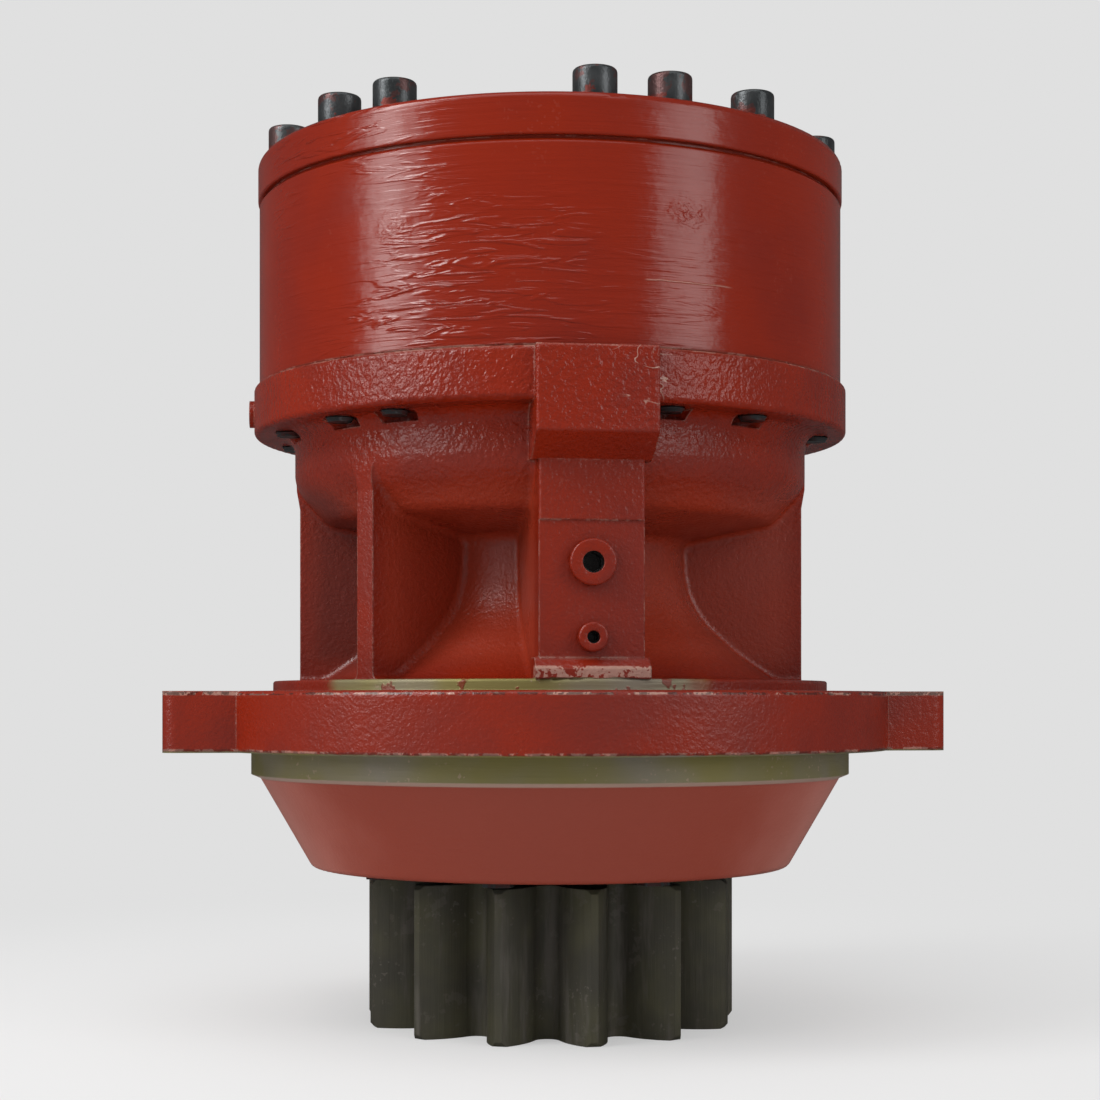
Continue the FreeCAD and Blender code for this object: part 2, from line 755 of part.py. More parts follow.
def bearing(bore_r, outer_r, roller_r, count, z0, height):
    """Outer ring, inner ring, rollers and cage of a cylindrical roller bearing."""
    pitch_r = (bore_r + outer_r) / 2
    outer_race = pitch_r + roller_r + race_gap
    inner_race = pitch_r - roller_r - race_gap
    lip = 5.0
    z1 = z0 + height
    edge = 1.5
    outer = revolved([
        (outer_r - edge, z0), (outer_r, z0 + edge), (outer_r, z1 - edge), (outer_r - edge, z1),
        (outer_race - 3, z1), (outer_race - 3, z1 - lip), (outer_race, z1 - lip),
        (outer_race, z0 + lip), (outer_race - 3, z0 + lip), (outer_race - 3, z0),
    ])
    inner = revolved([
        (bore_r + press_gap, z0), (inner_race + 3, z0), (inner_race + 3, z0 + lip), (inner_race, z0 + lip),
        (inner_race, z1 - lip), (inner_race + 3, z1 - lip), (inner_race + 3, z1), (bore_r + press_gap, z1),
    ])
    roller_low, roller_high = z0 + lip + race_gap, z1 - lip - race_gap
    roller = cylinder(roller_r, roller_low, roller_high, V(0, -pitch_r, 0))
    rollers = around(roller, every(count))
    cage_half = 2.0
    cage = ring(pitch_r - cage_half, pitch_r + cage_half, z0 + 1.5, z1 - 1.5)
    pocket = cylinder(roller_r + 0.25, roller_low - 0.25, roller_high + 0.25, V(0, -pitch_r, 0))
    return outer, inner, rollers, cage.cut(around(pocket, every(count)))


def seal_retainer():
    """Ring screwed under the casting that holds the lower bearing up and carries the shaft seal."""
    body = revolved([
        (seal_outer_r + press_gap, cone_bottom_z),
        (retainer_r, cone_bottom_z),
        (retainer_r, retainer_top_z),
        (lower_bearing_r - 0.5, retainer_top_z),
        (lower_bearing_r - 0.5, lower_bearing_bottom_z),
        (lower_bearing_r - 11, lower_bearing_bottom_z),
        (lower_bearing_r - 11, cone_bottom_z + seal_height + 2),
        (seal_outer_r - 6, cone_bottom_z + seal_height + 2),
        (seal_outer_r - 6, cone_bottom_z + seal_height),
        (seal_outer_r + press_gap, cone_bottom_z + seal_height),
    ])
    holes = [
        cylinder(retainer_screw_r + 0.5, cone_bottom_z - 1, retainer_top_z + 1, polar(retainer_screw_pcd / 2, a))
        for a in every(retainer_screw_count, retainer_screw_azimuth)
    ]
    return body.cut(Part.makeCompound(holes))


def retainer_screw():
    head = hexagon(retainer_screw_hex, cone_bottom_z - retainer_head_height, cone_bottom_z)
    shank = cylinder(retainer_screw_r, cone_bottom_z, cone_bottom_z + retainer_screw_length)
    body = head.fuse(shank)
    body.translate(polar(retainer_screw_pcd / 2, 0))
    return body


def oil_seal():
    """Lip seal: a pressed cup with a lip that runs on the sleeve."""
    z0 = cone_bottom_z + 1
    lip_r = seal_seat_r + seal_sleeve_wall + run_gap
    return revolved([
        (lip_r + 3, z0), (seal_outer_r, z0), (seal_outer_r, z0 + seal_height - 1.2),
        (seal_outer_r - 3, z0 + seal_height - 1.2), (seal_outer_r - 3, z0 + 4), (lip_r + 6, z0 + 4),
        (lip_r + 4, z0 + 9), (lip_r, z0 + 7), (lip_r, z0 + 6), (lip_r + 3, z0 + 3),
    ])


# Output shaft

def pinion_shaft():
    """Pinion and shaft in one forging, with bearing seats, thread, spline and end holes."""
    thinning = 0.3
    half = lambda r: half_tooth_angle(r, pinion_module, pinion_teeth, pinion_shift, thinning)
    base_r = pinion_pitch_r * math.cos(pressure_angle)
    face = tooth_outline(pinion_teeth, half, pinion_root_r, pinion_tip_r, base_r, round_root=True)
    teeth = toothed_prism(face, pinion_bottom_z, pinion_top_z, pinion_turn)
    blank = revolved([
        (0, pinion_bottom_z),
        (pinion_tip_r - pinion_edge, pinion_bottom_z),
        (pinion_tip_r, pinion_bottom_z + pinion_edge),
        (pinion_tip_r, pinion_top_z - pinion_edge),
        (pinion_tip_r - pinion_edge, pinion_top_z),
        (0, pinion_top_z),
    ])
    thread_top = upper_bearing_top_z + locknut_height + 2
    spline_root = carrier_spline_r - spline_depth
    shaft = revolved([
        (0, pinion_bottom_z + 10),
        (seal_seat_r + 6, pinion_top_z - 4),
        (seal_seat_r + 6, pinion_top_z + 3),
        (seal_seat_r, pinion_top_z + 3),
        (seal_seat_r, lower_bearing_bottom_z),
        (lower_bore_r, lower_bearing_bottom_z),
        (lower_bore_r, lower_bearing_top_z),
        (shaft_middle_r, lower_bearing_top_z),
        (shaft_middle_r, upper_bearing_bottom_z - 2),
        (upper_bore_r, upper_bearing_bottom_z - 2),
        (upper_bore_r, thread_top),
        (spline_root, thread_top),
        (spline_root, shaft_top_z),
        (0, shaft_top_z),
    ])
    top_spline = spline(carrier_spline_teeth, carrier_spline_r, spline_depth, thread_top + 2, shaft_top_z)
    body = fused([teeth.common(blank), shaft, top_spline])
    centre_hole = revolved([(0, pinion_bottom_z), (6, pinion_bottom_z), (0, pinion_bottom_z + 12)])
    cuts = [centre_hole]
    for azimuth in every(end_screw_count):
        at = polar(end_screw_pcd / 2, azimuth)
        cuts.append(cylinder(end_screw_r + press_gap, shaft_top_z - end_screw_length, shaft_top_z + 1, at))
    return body.cut(Part.makeCompound(cuts))


def seal_sleeve():
    """Hardened sleeve on the shaft for the seal lip, from the pinion's collar to the lower bearing."""
    z0 = pinion_top_z + 3
    return ring(seal_seat_r + press_gap, seal_seat_r + seal_sleeve_wall, z0, lower_bearing_bottom_z)


def spacer_sleeve():
    """Holds the two inner bearing rings apart."""
    gap = (lower_bearing_top_z, upper_bearing_bottom_z)
    return ring(shaft_middle_r + press_gap, shaft_middle_r + 5, *gap)


def bearing_locknut():
    z0 = upper_bearing_top_z
    nut = ring(upper_bore_r + press_gap, locknut_r, z0, z0 + locknut_height)
    slot = box(-5, 5, -locknut_r - 1, -locknut_r + 5, z0 - 1, z0 + locknut_height + 1)
    return nut.cut(around(slot, every(locknut_slots)))


# Carriers, pins and bushes

def carrier_plate(centre_r, z0, z1, pin_r):
    """Three-lobed plate with a bored seat for each planet pin."""
    lobe_r = carrier_r - centre_r
    disc = cylinder(centre_r * 0.78, z0, z1)
    lobes = [cylinder(lobe_r, z0, z1, polar(centre_r, a)) for a in planet_azimuths]
    arms = [turned(box(-lobe_r, lobe_r, -centre_r, 0, z0, z1), a) for a in planet_azimuths]
    seats = [cylinder(pin_r + press_gap, z0 - 1, z1 + 1, polar(centre_r, a)) for a in planet_azimuths]
    return fused([disc] + lobes + arms).cut(Part.makeCompound(seats))


def second_carrier():
    plate = carrier_plate(second_centre_r, second_carrier_bottom_z, second_carrier_top_z, second_pin_r)
    hub = cylinder(second_hub_r, second_hub_bottom_z, second_carrier_bottom_z + 1)
    hollow = spline(
        carrier_spline_teeth, carrier_spline_r, spline_depth,
        second_hub_bottom_z - 1, second_carrier_top_z + 1, spline_gap,
    )
    sink = cylinder(end_plate_r + spigot_gap, shaft_top_z, second_carrier_top_z + 1)
    return plate.fuse(hub).removeSplitter().cut(hollow).cut(sink)


def first_carrier():
    plate = carrier_plate(first_centre_r, first_carrier_bottom_z, first_carrier_top_z, first_pin_r)
    hollow = spline(
        sun_spline_teeth, sun_spline_r, spline_depth,
        first_carrier_bottom_z - 1, first_carrier_top_z + 1, spline_gap,
    )
    return plate.cut(hollow)


def planet_pins(pin_r, centre_r, z0, z1):
    pin = cylinder(pin_r, z0, z1)
    rim = [e for e in pin.Edges if e.BoundBox.ZLength < 0.01]
    pin = pin.makeChamfer(1.0, rim)
    pin.translate(polar(centre_r, 0))
    return around(pin, planet_azimuths)


def planet_rings(r_in, r_out, centre_r, z0, z1):
    """A flat ring round each planet pin, such as a thrust washer or a retaining ring."""
    return around(ring(r_in, r_out, z0, z1, polar(centre_r, 0)), planet_azimuths)


def planet(teeth, centre_r, azimuth, z0, z1, bore_r):
    gear = train_gear(teeth, z0, z1, 0)
    gear = gear.cut(cylinder(bore_r, z0 - 1, z1 + 1))
    gear.rotate(V(0, 0, 0), Z_AXIS, azimuth)
    gear.translate(polar(centre_r, azimuth))
    return gear


def planet_bush(pin_r, bush_r, centre_r, azimuth, z0, z1):
    return ring(pin_r + run_gap, bush_r - press_gap, z0, z1, polar(centre_r, azimuth))


# Suns, end plate and thrust pieces

def second_sun():
    """Sun of the second stage with the splined stub that the first carrier turns."""
    half_pitch = 180.0 / second_sun_teeth
    teeth = train_gear(second_sun_teeth, second_bottom_z, second_top_z, planet_azimuth + half_pitch)
    stub = spline(sun_spline_teeth, sun_spline_r, spline_depth, second_top_z - 1, first_carrier_top_z)
    return fused([teeth, stub])


def input_sun():
    """Sun of the first stage with a splined socket for the motor's shaft."""
    teeth = train_gear(first_sun_teeth, first_bottom_z, first_top_z, planet_azimuth)
    hub = cylinder(input_hub_r, first_top_z - 1, input_top_z)
    rim = [e for e in hub.Edges if e.BoundBox.ZMin > input_top_z - 0.01]
    body = fused([teeth, hub.makeChamfer(1.5, rim)])
    return body.cut(spline(socket_teeth, socket_r, socket_depth, input_top_z - socket_length, input_top_z + 1))


def end_plate():
    """Plate sunk in the second carrier that holds it down on the shaft's spline."""
    body = cylinder(end_plate_r, shaft_top_z, second_carrier_top_z)
    cuts = []
    for azimuth in every(end_screw_count):
        at = polar(end_screw_pcd / 2, azimuth)
        cuts.append(cylinder(end_screw_r + 0.5, shaft_top_z - 1, second_carrier_top_z + 1, at))
        seat = second_carrier_top_z - end_screw_head_height
        cuts.append(cylinder(end_screw_head_r + 0.5, seat, second_carrier_top_z + 1, at))
    return body.cut(Part.makeCompound(cuts))


def end_screw():
    seat = second_carrier_top_z - end_screw_head_height
    body = cylinder(end_screw_head_r, seat, second_carrier_top_z - 0.5)
    body = body.fuse(cylinder(end_screw_r, seat - end_screw_length + 10, seat)).removeSplitter()
    body = body.cut(hexagon(end_screw_head_r, second_carrier_top_z - 4, second_carrier_top_z))
    body.translate(polar(end_screw_pcd / 2, 0))
    return body


def export(name, shape):
    shape.exportStep(os.path.join("parts", name + ".step"))


def export_bearing(name, *sizes):
    for piece, shape in zip(("outer_ring", "inner_ring", "rollers", "cage"), bearing(*sizes)):
        export(f"{name}_{piece}", shape)


def export_stage(name, teeth, centre_r, pin_r, bottom_z, top_z, carrier_bottom_z, carrier_top_z):
    """Planets, bushes, pins, thrust washers and retaining rings of one planetary stage."""
    bush_r = pin_r + bush_wall
    for i, azimuth in enumerate(planet_azimuths, 1):
        export(f"{name}_planet_{i}", planet(teeth, centre_r, azimuth, bottom_z, top_z, bush_r))
        export(f"{name}_planet_bush_{i}", planet_bush(pin_r, bush_r, centre_r, azimuth, bottom_z, top_z))
    clip_z = top_z + end_play
    pin_top_z = clip_z + clip_height + pin_end
    export(f"{name}_planet_pins", planet_pins(pin_r, centre_r, carrier_bottom_z, pin_top_z))
    washer_r = bush_r + 3
    washers = planet_rings(pin_r + press_gap, washer_r, centre_r, carrier_top_z, bottom_z - end_play)
    export(f"{name}_thrust_washers", washers)
    clips = planet_rings(pin_r + press_gap, pin_r + clip_wall, centre_r, clip_z, clip_z + clip_height)
    export(f"{name}_retaining_rings", clips)


def main():
    os.makedirs("parts", exist_ok=True)

    export("lower_housing", lower_housing())
    export("ring_gear", ring_gear())
    export("top_cover", top_cover())
    export("cover_screws", around(cap_screw(), all_screw_azimuths))
    export("dowel_pins", dowel_pins())
    export("lower_o_ring", o_ring(upper_flange_top_z - o_ring_depth))
    export("upper_o_ring", o_ring(ring_top_z))
    export("drain_plug", plug(drain_port_z, drain_thread_r, drain_collar_r, drain_hex))
    export("level_plug", plug(level_port_z, level_thread_r, level_collar_r, level_hex))
    export("drain_plug_washer", plug_washer(drain_port_z, drain_thread_r, drain_collar_r))
    export("level_plug_washer", plug_washer(level_port_z, level_thread_r, level_collar_r))
    export("seal_retainer", seal_retainer())
    export("retainer_screws", around(retainer_screw(), every(retainer_screw_count, retainer_screw_azimuth)))
    export("oil_seal", oil_seal())

    export_bearing(
        "lower_bearing", lower_bore_r, lower_bearing_r, lower_roller_r, lower_roller_count,
        lower_bearing_bottom_z, lower_bearing_height,
    )
    export_bearing(
        "upper_bearing", upper_bore_r, upper_bearing_r, upper_roller_r, upper_roller_count,
        upper_bearing_bottom_z, upper_bearing_height,
    )
    export("pinion_shaft", pinion_shaft())
    export("seal_sleeve", seal_sleeve())
    export("spacer_sleeve", spacer_sleeve())
    export("bearing_locknut", bearing_locknut())
    export("end_plate", end_plate())
    export("end_screws", around(end_screw(), every(end_screw_count)))

    export("second_carrier", second_carrier())
    export("first_carrier", first_carrier())
    export_stage(
        "second", second_planet_teeth, second_centre_r, second_pin_r,
        second_bottom_z, second_top_z, second_carrier_bottom_z, second_carrier_top_z,
    )
    export_stage(
        "first", first_planet_teeth, first_centre_r, first_pin_r,
        first_bottom_z, first_top_z, first_carrier_bottom_z, first_carrier_top_z,
    )
    export("second_sun", second_sun())
    export("input_sun", input_sun())
    sun_disc = cylinder(thrust_disc_r, first_carrier_top_z, first_bottom_z - end_play)
    export("input_thrust_disc", sun_disc)
    shaft_disc = cylinder(thrust_disc_r, second_carrier_top_z, second_bottom_z - end_play)
    export("output_thrust_disc", shaft_disc)


main()
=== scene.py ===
import bpy
import bmesh
import json
import math
import random
from mathutils import Matrix, Vector


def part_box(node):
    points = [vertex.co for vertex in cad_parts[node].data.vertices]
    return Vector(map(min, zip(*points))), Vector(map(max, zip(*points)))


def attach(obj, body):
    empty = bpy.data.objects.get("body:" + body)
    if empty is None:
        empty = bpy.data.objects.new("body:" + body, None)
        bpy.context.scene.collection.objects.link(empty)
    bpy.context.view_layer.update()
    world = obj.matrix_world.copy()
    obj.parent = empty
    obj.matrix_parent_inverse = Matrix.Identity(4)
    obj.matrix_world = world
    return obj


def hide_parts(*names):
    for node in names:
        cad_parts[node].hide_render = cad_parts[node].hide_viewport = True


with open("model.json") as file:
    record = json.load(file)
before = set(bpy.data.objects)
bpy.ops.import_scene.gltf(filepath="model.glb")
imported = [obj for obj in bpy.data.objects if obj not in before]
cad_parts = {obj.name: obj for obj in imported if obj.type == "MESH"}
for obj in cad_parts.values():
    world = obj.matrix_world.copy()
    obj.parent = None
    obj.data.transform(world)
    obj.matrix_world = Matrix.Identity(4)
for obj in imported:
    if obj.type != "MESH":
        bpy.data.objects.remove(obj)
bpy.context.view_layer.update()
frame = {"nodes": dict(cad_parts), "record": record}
random.seed(7)
print("frame loaded", len(frame["nodes"]), "nodes")

# the photograph: a level camera a little under the mounting flange, standing left of the plug pad
view = {
    "frameSize": 1100,
    "axisX": 550.0,
    "horizonY": 701.5,
    "focalPixels": 2022.0,
    "distance": 1.231,
    "height": 0.0286,
    "azimuth": -8.0,
    "sensor": 36.0,
    "near": 0.01,
    "far": 50.0,
}


# a place at a distance from the gearbox axis; azimuth 0 is the front, and 90 the right
def aroundAxis(radius, azimuth, z=0.0):
    a = math.radians(azimuth)
    return Vector((radius * math.sin(a), -radius * math.cos(a), z))


def makeCamera():
    data = bpy.data.cameras.new("photoCamera")
    data.sensor_width = view["sensor"]
    data.lens = view["sensor"] * view["focalPixels"] / view["frameSize"]
    half = view["frameSize"] / 2
    data.shift_x = (half - view["axisX"]) / view["frameSize"]
    data.shift_y = (view["horizonY"] - half) / view["frameSize"]
    data.clip_start, data.clip_end = view["near"], view["far"]
    camera = bpy.data.objects.new("photoCamera", data)
    bpy.context.scene.collection.objects.link(camera)
    camera.location = aroundAxis(view["distance"], view["azimuth"], view["height"])
    back = aroundAxis(1.0, view["azimuth"])
    camera.rotation_euler = (-back).to_track_quat("-Z", "Y").to_euler()
    bpy.context.scene.camera = camera


makeCamera()
bpy.context.scene.view_settings.view_transform = "Standard"
print("camera placed")


# a shader node with its settings; an input that is a socket gets linked, any other value is set
def put(tree, kind, inputs=None, **settings):
    node = tree.nodes.new(kind)
    for key, value in settings.items():
        setattr(node, key, value)
    for key, value in (inputs or {}).items():
        fill(tree, node.inputs[key], value)
    return node


def fill(tree, socket, value):
    if isinstance(value, bpy.types.NodeSocket):
        tree.links.new(value, socket)
    else:
        socket.default_value = value


def math2(tree, operation, a, b=0.0):
    return put(tree, "ShaderNodeMath", {0: a, 1: b}, operation=operation).outputs[0]


def chained(tree, operation, values):
    result = values[0]
    for value in values[1:]:
        result = math2(tree, operation, result, value)
    return result


def product(tree, *values):
    return chained(tree, "MULTIPLY", values)


def total(tree, *values):
    return chained(tree, "ADD", values)


def strongest(tree, *values):
    return chained(tree, "MAXIMUM", values)


def minus(tree, a, b):
    return math2(tree, "SUBTRACT", a, b)


def vectorMath(tree, operation, a, b=None):
    inputs = {0: a} if b is None else {0: a, 1: b}
    node = put(tree, "ShaderNodeVectorMath", inputs, operation=operation)
    return node.outputs["Value" if operation in ("LENGTH", "DISTANCE", "DOT_PRODUCT") else "Vector"]


# the same place at height 0, so that its length is the distance from the gearbox axis
def flattened(tree, where):
    return vectorMath(tree, "MULTIPLY", where, (1.0, 1.0, 0.0))


def split(tree, where):
    return put(tree, "ShaderNodeSeparateXYZ", {0: where}).outputs


def smoothStep(tree, value, low, high):
    inputs = {"Value": value, "From Min": low, "From Max": high}
    return put(tree, "ShaderNodeMapRange", inputs, interpolation_type="SMOOTHSTEP").outputs["Result"]


def noiseAt(tree, vector, scale=1.0, detail=3.0, rough=0.55, stretch=None, swirl=0.0):
    if stretch:
        vector = put(tree, "ShaderNodeMapping", {"Vector": vector, "Scale": stretch}).outputs[0]
    sockets = {"Vector": vector, "Scale": scale, "Detail": detail, "Roughness": rough, "Distortion": swirl}
    return put(tree, "ShaderNodeTexNoise", sockets).outputs["Fac"]


# the sockets of a mix node differ with what it mixes
def mix(tree, kind, sockets, result, values):
    node = put(tree, "ShaderNodeMix", data_type=kind)
    for index, value in zip(sockets, values):
        fill(tree, node.inputs[index], value)
    return node.outputs[result]


def mixColour(tree, factor, a, b):
    return mix(tree, "RGBA", (0, 6, 7), 2, (factor, a, b))


def mixValue(tree, factor, a, b):
    return mix(tree, "FLOAT", (0, 2, 3), 0, (factor, a, b))


def startGroup(name, inputs, outputs):
    group = bpy.data.node_groups.new(name, "ShaderNodeTree")
    for label, kind, value in inputs:
        socket = group.interface.new_socket(name=label, in_out="INPUT", socket_type="NodeSocket" + kind)
        if value is not None:
            socket.default_value = value
    for label, kind in outputs:
        group.interface.new_socket(name=label, in_out="OUTPUT", socket_type="NodeSocket" + kind)
    entry = group.nodes.new("NodeGroupInput")
    leave = group.nodes.new("NodeGroupOutput")
    return group, entry.outputs, leave.inputs


def useGroup(tree, group, **inputs):
    node = tree.nodes.new("ShaderNodeGroup")
    node.node_tree = group
    for key, value in inputs.items():
        fill(tree, node.inputs[key[0].upper() + key[1:]], value)
    return node.outputs


castSkin = {
    "swell": {"detail": 2.0, "rough": 0.5},
    "grain": {"scale": 430.0, "detail": 1.0, "rough": 0.5},
    "pits": (0.6, 0.72),
}


# thick enamel over sand-cast iron: swells and pits of a few millimetres with a finer grain on top
def makeCastSkin():
    s = castSkin
    group, into, out = startGroup("castSkin", [
        ("Vector", "Vector", None), ("Size", "Float", 210.0), ("Grain", "Float", 0.3), ("Pits", "Float", 0.3)],
        [("Height", "Float")])
    swell = noiseAt(group, into["Vector"], into["Size"], **s["swell"])
    field = noiseAt(group, into["Vector"], **s["grain"])
    pits = product(group, smoothStep(group, field, *s["pits"]), into["Pits"])
    grain = product(group, field, into["Grain"])
    group.links.new(minus(group, total(group, swell, grain), pits), out["Height"])
    return group


turnedSkin = {
    "fine": {"detail": 3.0, "rough": 0.6, "stretch": (14.0, 14.0, 330.0)},
    "ridge": {"detail": 2.0, "rough": 0.5, "stretch": (24.0, 24.0, 175.0), "swirl": 1.3},
    "ridgeRise": (0.46, 0.7),
    "field": {"scale": 8.0, "detail": 1.0},
    "fieldRise": (0.42, 0.62),
}


# brush and lathe lines that run round the axis, broken here and there by thicker ridges of paint
def makeTurnedSkin():
    s = turnedSkin
    group, into, out = startGroup("turnedSkin", [
        ("Vector", "Vector", None), ("Lines", "Float", 0.5), ("Ridges", "Float", 0.8)], [("Height", "Float")])
    fine = noiseAt(group, into["Vector"], **s["fine"])
    ridge = smoothStep(group, noiseAt(group, into["Vector"], **s["ridge"]), *s["ridgeRise"])
    field = smoothStep(group, noiseAt(group, into["Vector"], **s["field"]), *s["fieldRise"])
    fine = product(group, fine, into["Lines"])
    ridge = product(group, ridge, field, into["Ridges"])
    group.links.new(total(group, fine, ridge), out["Height"])
    return group


colourDrift = {
    "slow": {"detail": 3.0, "rough": 0.6},
    "slowRise": (0.35, 0.7),
    "dots": {"scale": 340.0, "detail": 1.0, "rough": 0.7},
    "dotRise": (0.64, 0.7),
    "patch": {"scale": 26.0, "detail": 1.0},
    "patchRise": (0.5, 0.66),
}


# slow change of a colour over the surface, with small specks of a third one
def makeDrift():
    s = colourDrift
    group, into, out = startGroup("colourDrift", [
        ("Vector", "Vector", None), ("Base", "Color", (1, 1, 1, 1)), ("Shade", "Color", (1, 1, 1, 1)),
        ("Speck", "Color", (1, 1, 1, 1)), ("Size", "Float", 14.0), ("Specks", "Float", 0.1)],
        [("Color", "Color"), ("Mask", "Float")])
    slow = smoothStep(group, noiseAt(group, into["Vector"], into["Size"], **s["slow"]), *s["slowRise"])
    colour = mixColour(group, slow, into["Base"], into["Shade"])
    dots = smoothStep(group, noiseAt(group, into["Vector"], **s["dots"]), *s["dotRise"])
    patch = smoothStep(group, noiseAt(group, into["Vector"], **s["patch"]), *s["patchRise"])
    speck = product(group, dots, patch, into["Specks"])
    group.links.new(mixColour(group, speck, colour, into["Speck"]), out["Color"])
    group.links.new(slow, out["Mask"])
    return group


bandMask = {
    "wobble": {"scale": 120.0, "detail": 3.0, "rough": 0.65},
}


# 1 between two heights and between two radii about the gearbox axis, with a ragged edge
def makeBand():
    group, into, out = startGroup("bandMask", [
        ("Vector", "Vector", None), ("Low", "Float", -10.0), ("High", "Float", 10.0), ("Inside", "Float", 0.0),
        ("Outside", "Float", 10.0), ("Ragged", "Float", 0.001), ("Edge", "Float", 0.0004)], [("Mask", "Float")])
    wobble = minus(group, noiseAt(group, into["Vector"], **bandMask["wobble"]), 0.5)
    wobble = product(group, wobble, into["Ragged"])
    z = total(group, split(group, into["Vector"])["Z"], wobble)
    radius = total(group, vectorMath(group, "LENGTH", flattened(group, into["Vector"])), wobble)
    back = product(group, into["Edge"], -1.0)
    above = smoothStep(group, minus(group, z, into["Low"]), back, into["Edge"])
    below = smoothStep(group, minus(group, into["High"], z), back, into["Edge"])
    beyond = math2(group, "GREATER_THAN", radius, into["Inside"])
    within = math2(group, "LESS_THAN", radius, into["Outside"])
    group.links.new(product(group, above, below, beyond, within), out["Mask"])
    return group


scatteredChips = {
    "field": {"detail": 4.0, "rough": 0.7},
    "limit": 0.75,
    "share": 0.35,
    "rise": (0.0, 0.03),
}


# scattered chips, for paint that has come off; a larger amount lowers the limit that the noise has to pass
def makeChips():
    s = scatteredChips
    group, into, out = startGroup("chips", [
        ("Vector", "Vector", None), ("Size", "Float", 90.0), ("Amount", "Float", 0.5)], [("Mask", "Float")])
    field = noiseAt(group, into["Vector"], into["Size"], **s["field"])
    limit = minus(group, s["limit"], product(group, into["Amount"], s["share"]))
    group.links.new(smoothStep(group, minus(group, field, limit), *s["rise"]), out["Mask"])
    return group


softEdges = {
    "samples": 4,
    "maskRise": (0.08, 0.28),
}


# rounded normals at the sharp edges, and a mask of where they are
def makeSoftEdges():
    s = softEdges
    group, into, out = startGroup("softEdges", [("Radius", "Float", 0.0015)], [("Normal", "Vector"), ("Mask", "Float")])
    bevel = put(group, "ShaderNodeBevel", {"Radius": into["Radius"]}, samples=s["samples"]).outputs["Normal"]
    plain = put(group, "ShaderNodeNewGeometry").outputs["Normal"]
    same = vectorMath(group, "DOT_PRODUCT", bevel, plain)
    group.links.new(bevel, out["Normal"])
    group.links.new(smoothStep(group, minus(group, 1.0, same), *s["maskRise"]), out["Mask"])
    return group


hobbed = {
    "marks": {"detail": 3.0, "rough": 0.6, "stretch": (420.0, 420.0, 14.0)},
    "scuffs": {"detail": 4.0, "rough": 0.7, "stretch": (80.0, 80.0, 10.0)},
    "scuffHeight": 0.6,
    "stainRise": (0.5, 0.68),
}


# straight marks of a cutting tool along Z, with stains between them
def makeHobbed():
    s = hobbed
    group, into, out = startGroup("hobbed", [("Vector", "Vector", None), ("Marks", "Float", 1.0)],
                                  [("Height", "Float"), ("Stain", "Float")])
    marks = noiseAt(group, into["Vector"], **s["marks"])
    scuffs = noiseAt(group, into["Vector"], **s["scuffs"])
    height = total(group, product(group, marks, into["Marks"]), product(group, scuffs, s["scuffHeight"]))
    group.links.new(height, out["Height"])
    group.links.new(smoothStep(group, scuffs, *s["stainRise"]), out["Stain"])
    return group


groups = {
    "castSkin": makeCastSkin(),
    "turnedSkin": makeTurnedSkin(),
    "drift": makeDrift(),
    "band": makeBand(),
    "chips": makeChips(),
    "softEdges": makeSoftEdges(),
    "hobbed": makeHobbed(),
}
print("shader groups made")


def startMaterial(name, **sockets):
    material = bpy.data.materials.new(name)
    material.use_nodes = True
    tree = material.node_tree
    shader = tree.nodes["Principled BSDF"]
    for label, value in sockets.items():
        shader.inputs[label].default_value = value
    where = put(tree, "ShaderNodeTexCoord").outputs["Object"]
    return material, tree, shader, where


def bumpInto(tree, shader, height, distance, normal=None):
    bump = put(tree, "ShaderNodeBump", {"Height": height, "Distance": distance})
    if normal:
        tree.links.new(normal, bump.inputs["Normal"])
    tree.links.new(bump.outputs["Normal"], shader.inputs["Normal"])


def maskOf(tree, where, group, settings):
    return useGroup(tree, groups[group], vector=where, **settings)["Mask"]


def driftOf(tree, where, settings):
    return useGroup(tree, groups["drift"], vector=where, **settings)


def skinOf(tree, where, group, settings):
    return useGroup(tree, groups[group], vector=where, **settings)["Height"]


sideWaver = {
    "noise": {"scale": 30.0, "detail": 2.0},
    "reach": 0.16,
}


# 1 on the side of the object that faces an azimuth, fading out between two cosines, with a wavering edge
def facingSide(tree, where, middle, reach):
    outwards = vectorMath(tree, "NORMALIZE", flattened(tree, where))
    cosine = vectorMath(tree, "DOT_PRODUCT", outwards, aroundAxis(1.0, middle))
    waver = product(tree, noiseAt(tree, where, **sideWaver["noise"]), sideWaver["reach"])
    return smoothStep(tree, total(tree, cosine, minus(tree, waver, sideWaver["reach"] / 2)), *reach)


scratches = {
    "lines": {"detail": 1.0, "rough": 0.5, "stretch": (34.0, 34.0, 80.0), "swirl": 1.0},
    "lineFade": (0.014, 0.003),
    "gaps": {"scale": 160.0, "detail": 2.0},
    "gapRise": (0.4, 0.55),
    "fade": 0.6,
    "strength": 0.6,
}


# thin pale scratches round a spot, where a slow noise passes through its middle value
def makeScratches(tree, where, centre, radius):
    s = scratches
    away = vectorMath(tree, "DISTANCE", where, centre)
    patch = smoothStep(tree, away, radius, radius * s["fade"])
    field = noiseAt(tree, where, **s["lines"])
    line = smoothStep(tree, math2(tree, "ABSOLUTE", minus(tree, field, 0.5)), *s["lineFade"])
    broken = smoothStep(tree, noiseAt(tree, where, **s["gaps"]), *s["gapRise"])
    return product(tree, patch, line, broken, s["strength"])


enamel = {
    "red": (0.198, 0.0124, 0.0024, 1.0),
    "deepRed": (0.16, 0.009, 0.0019, 1.0),
    "paleSpeck": (0.4, 0.15, 0.11, 1.0),
}

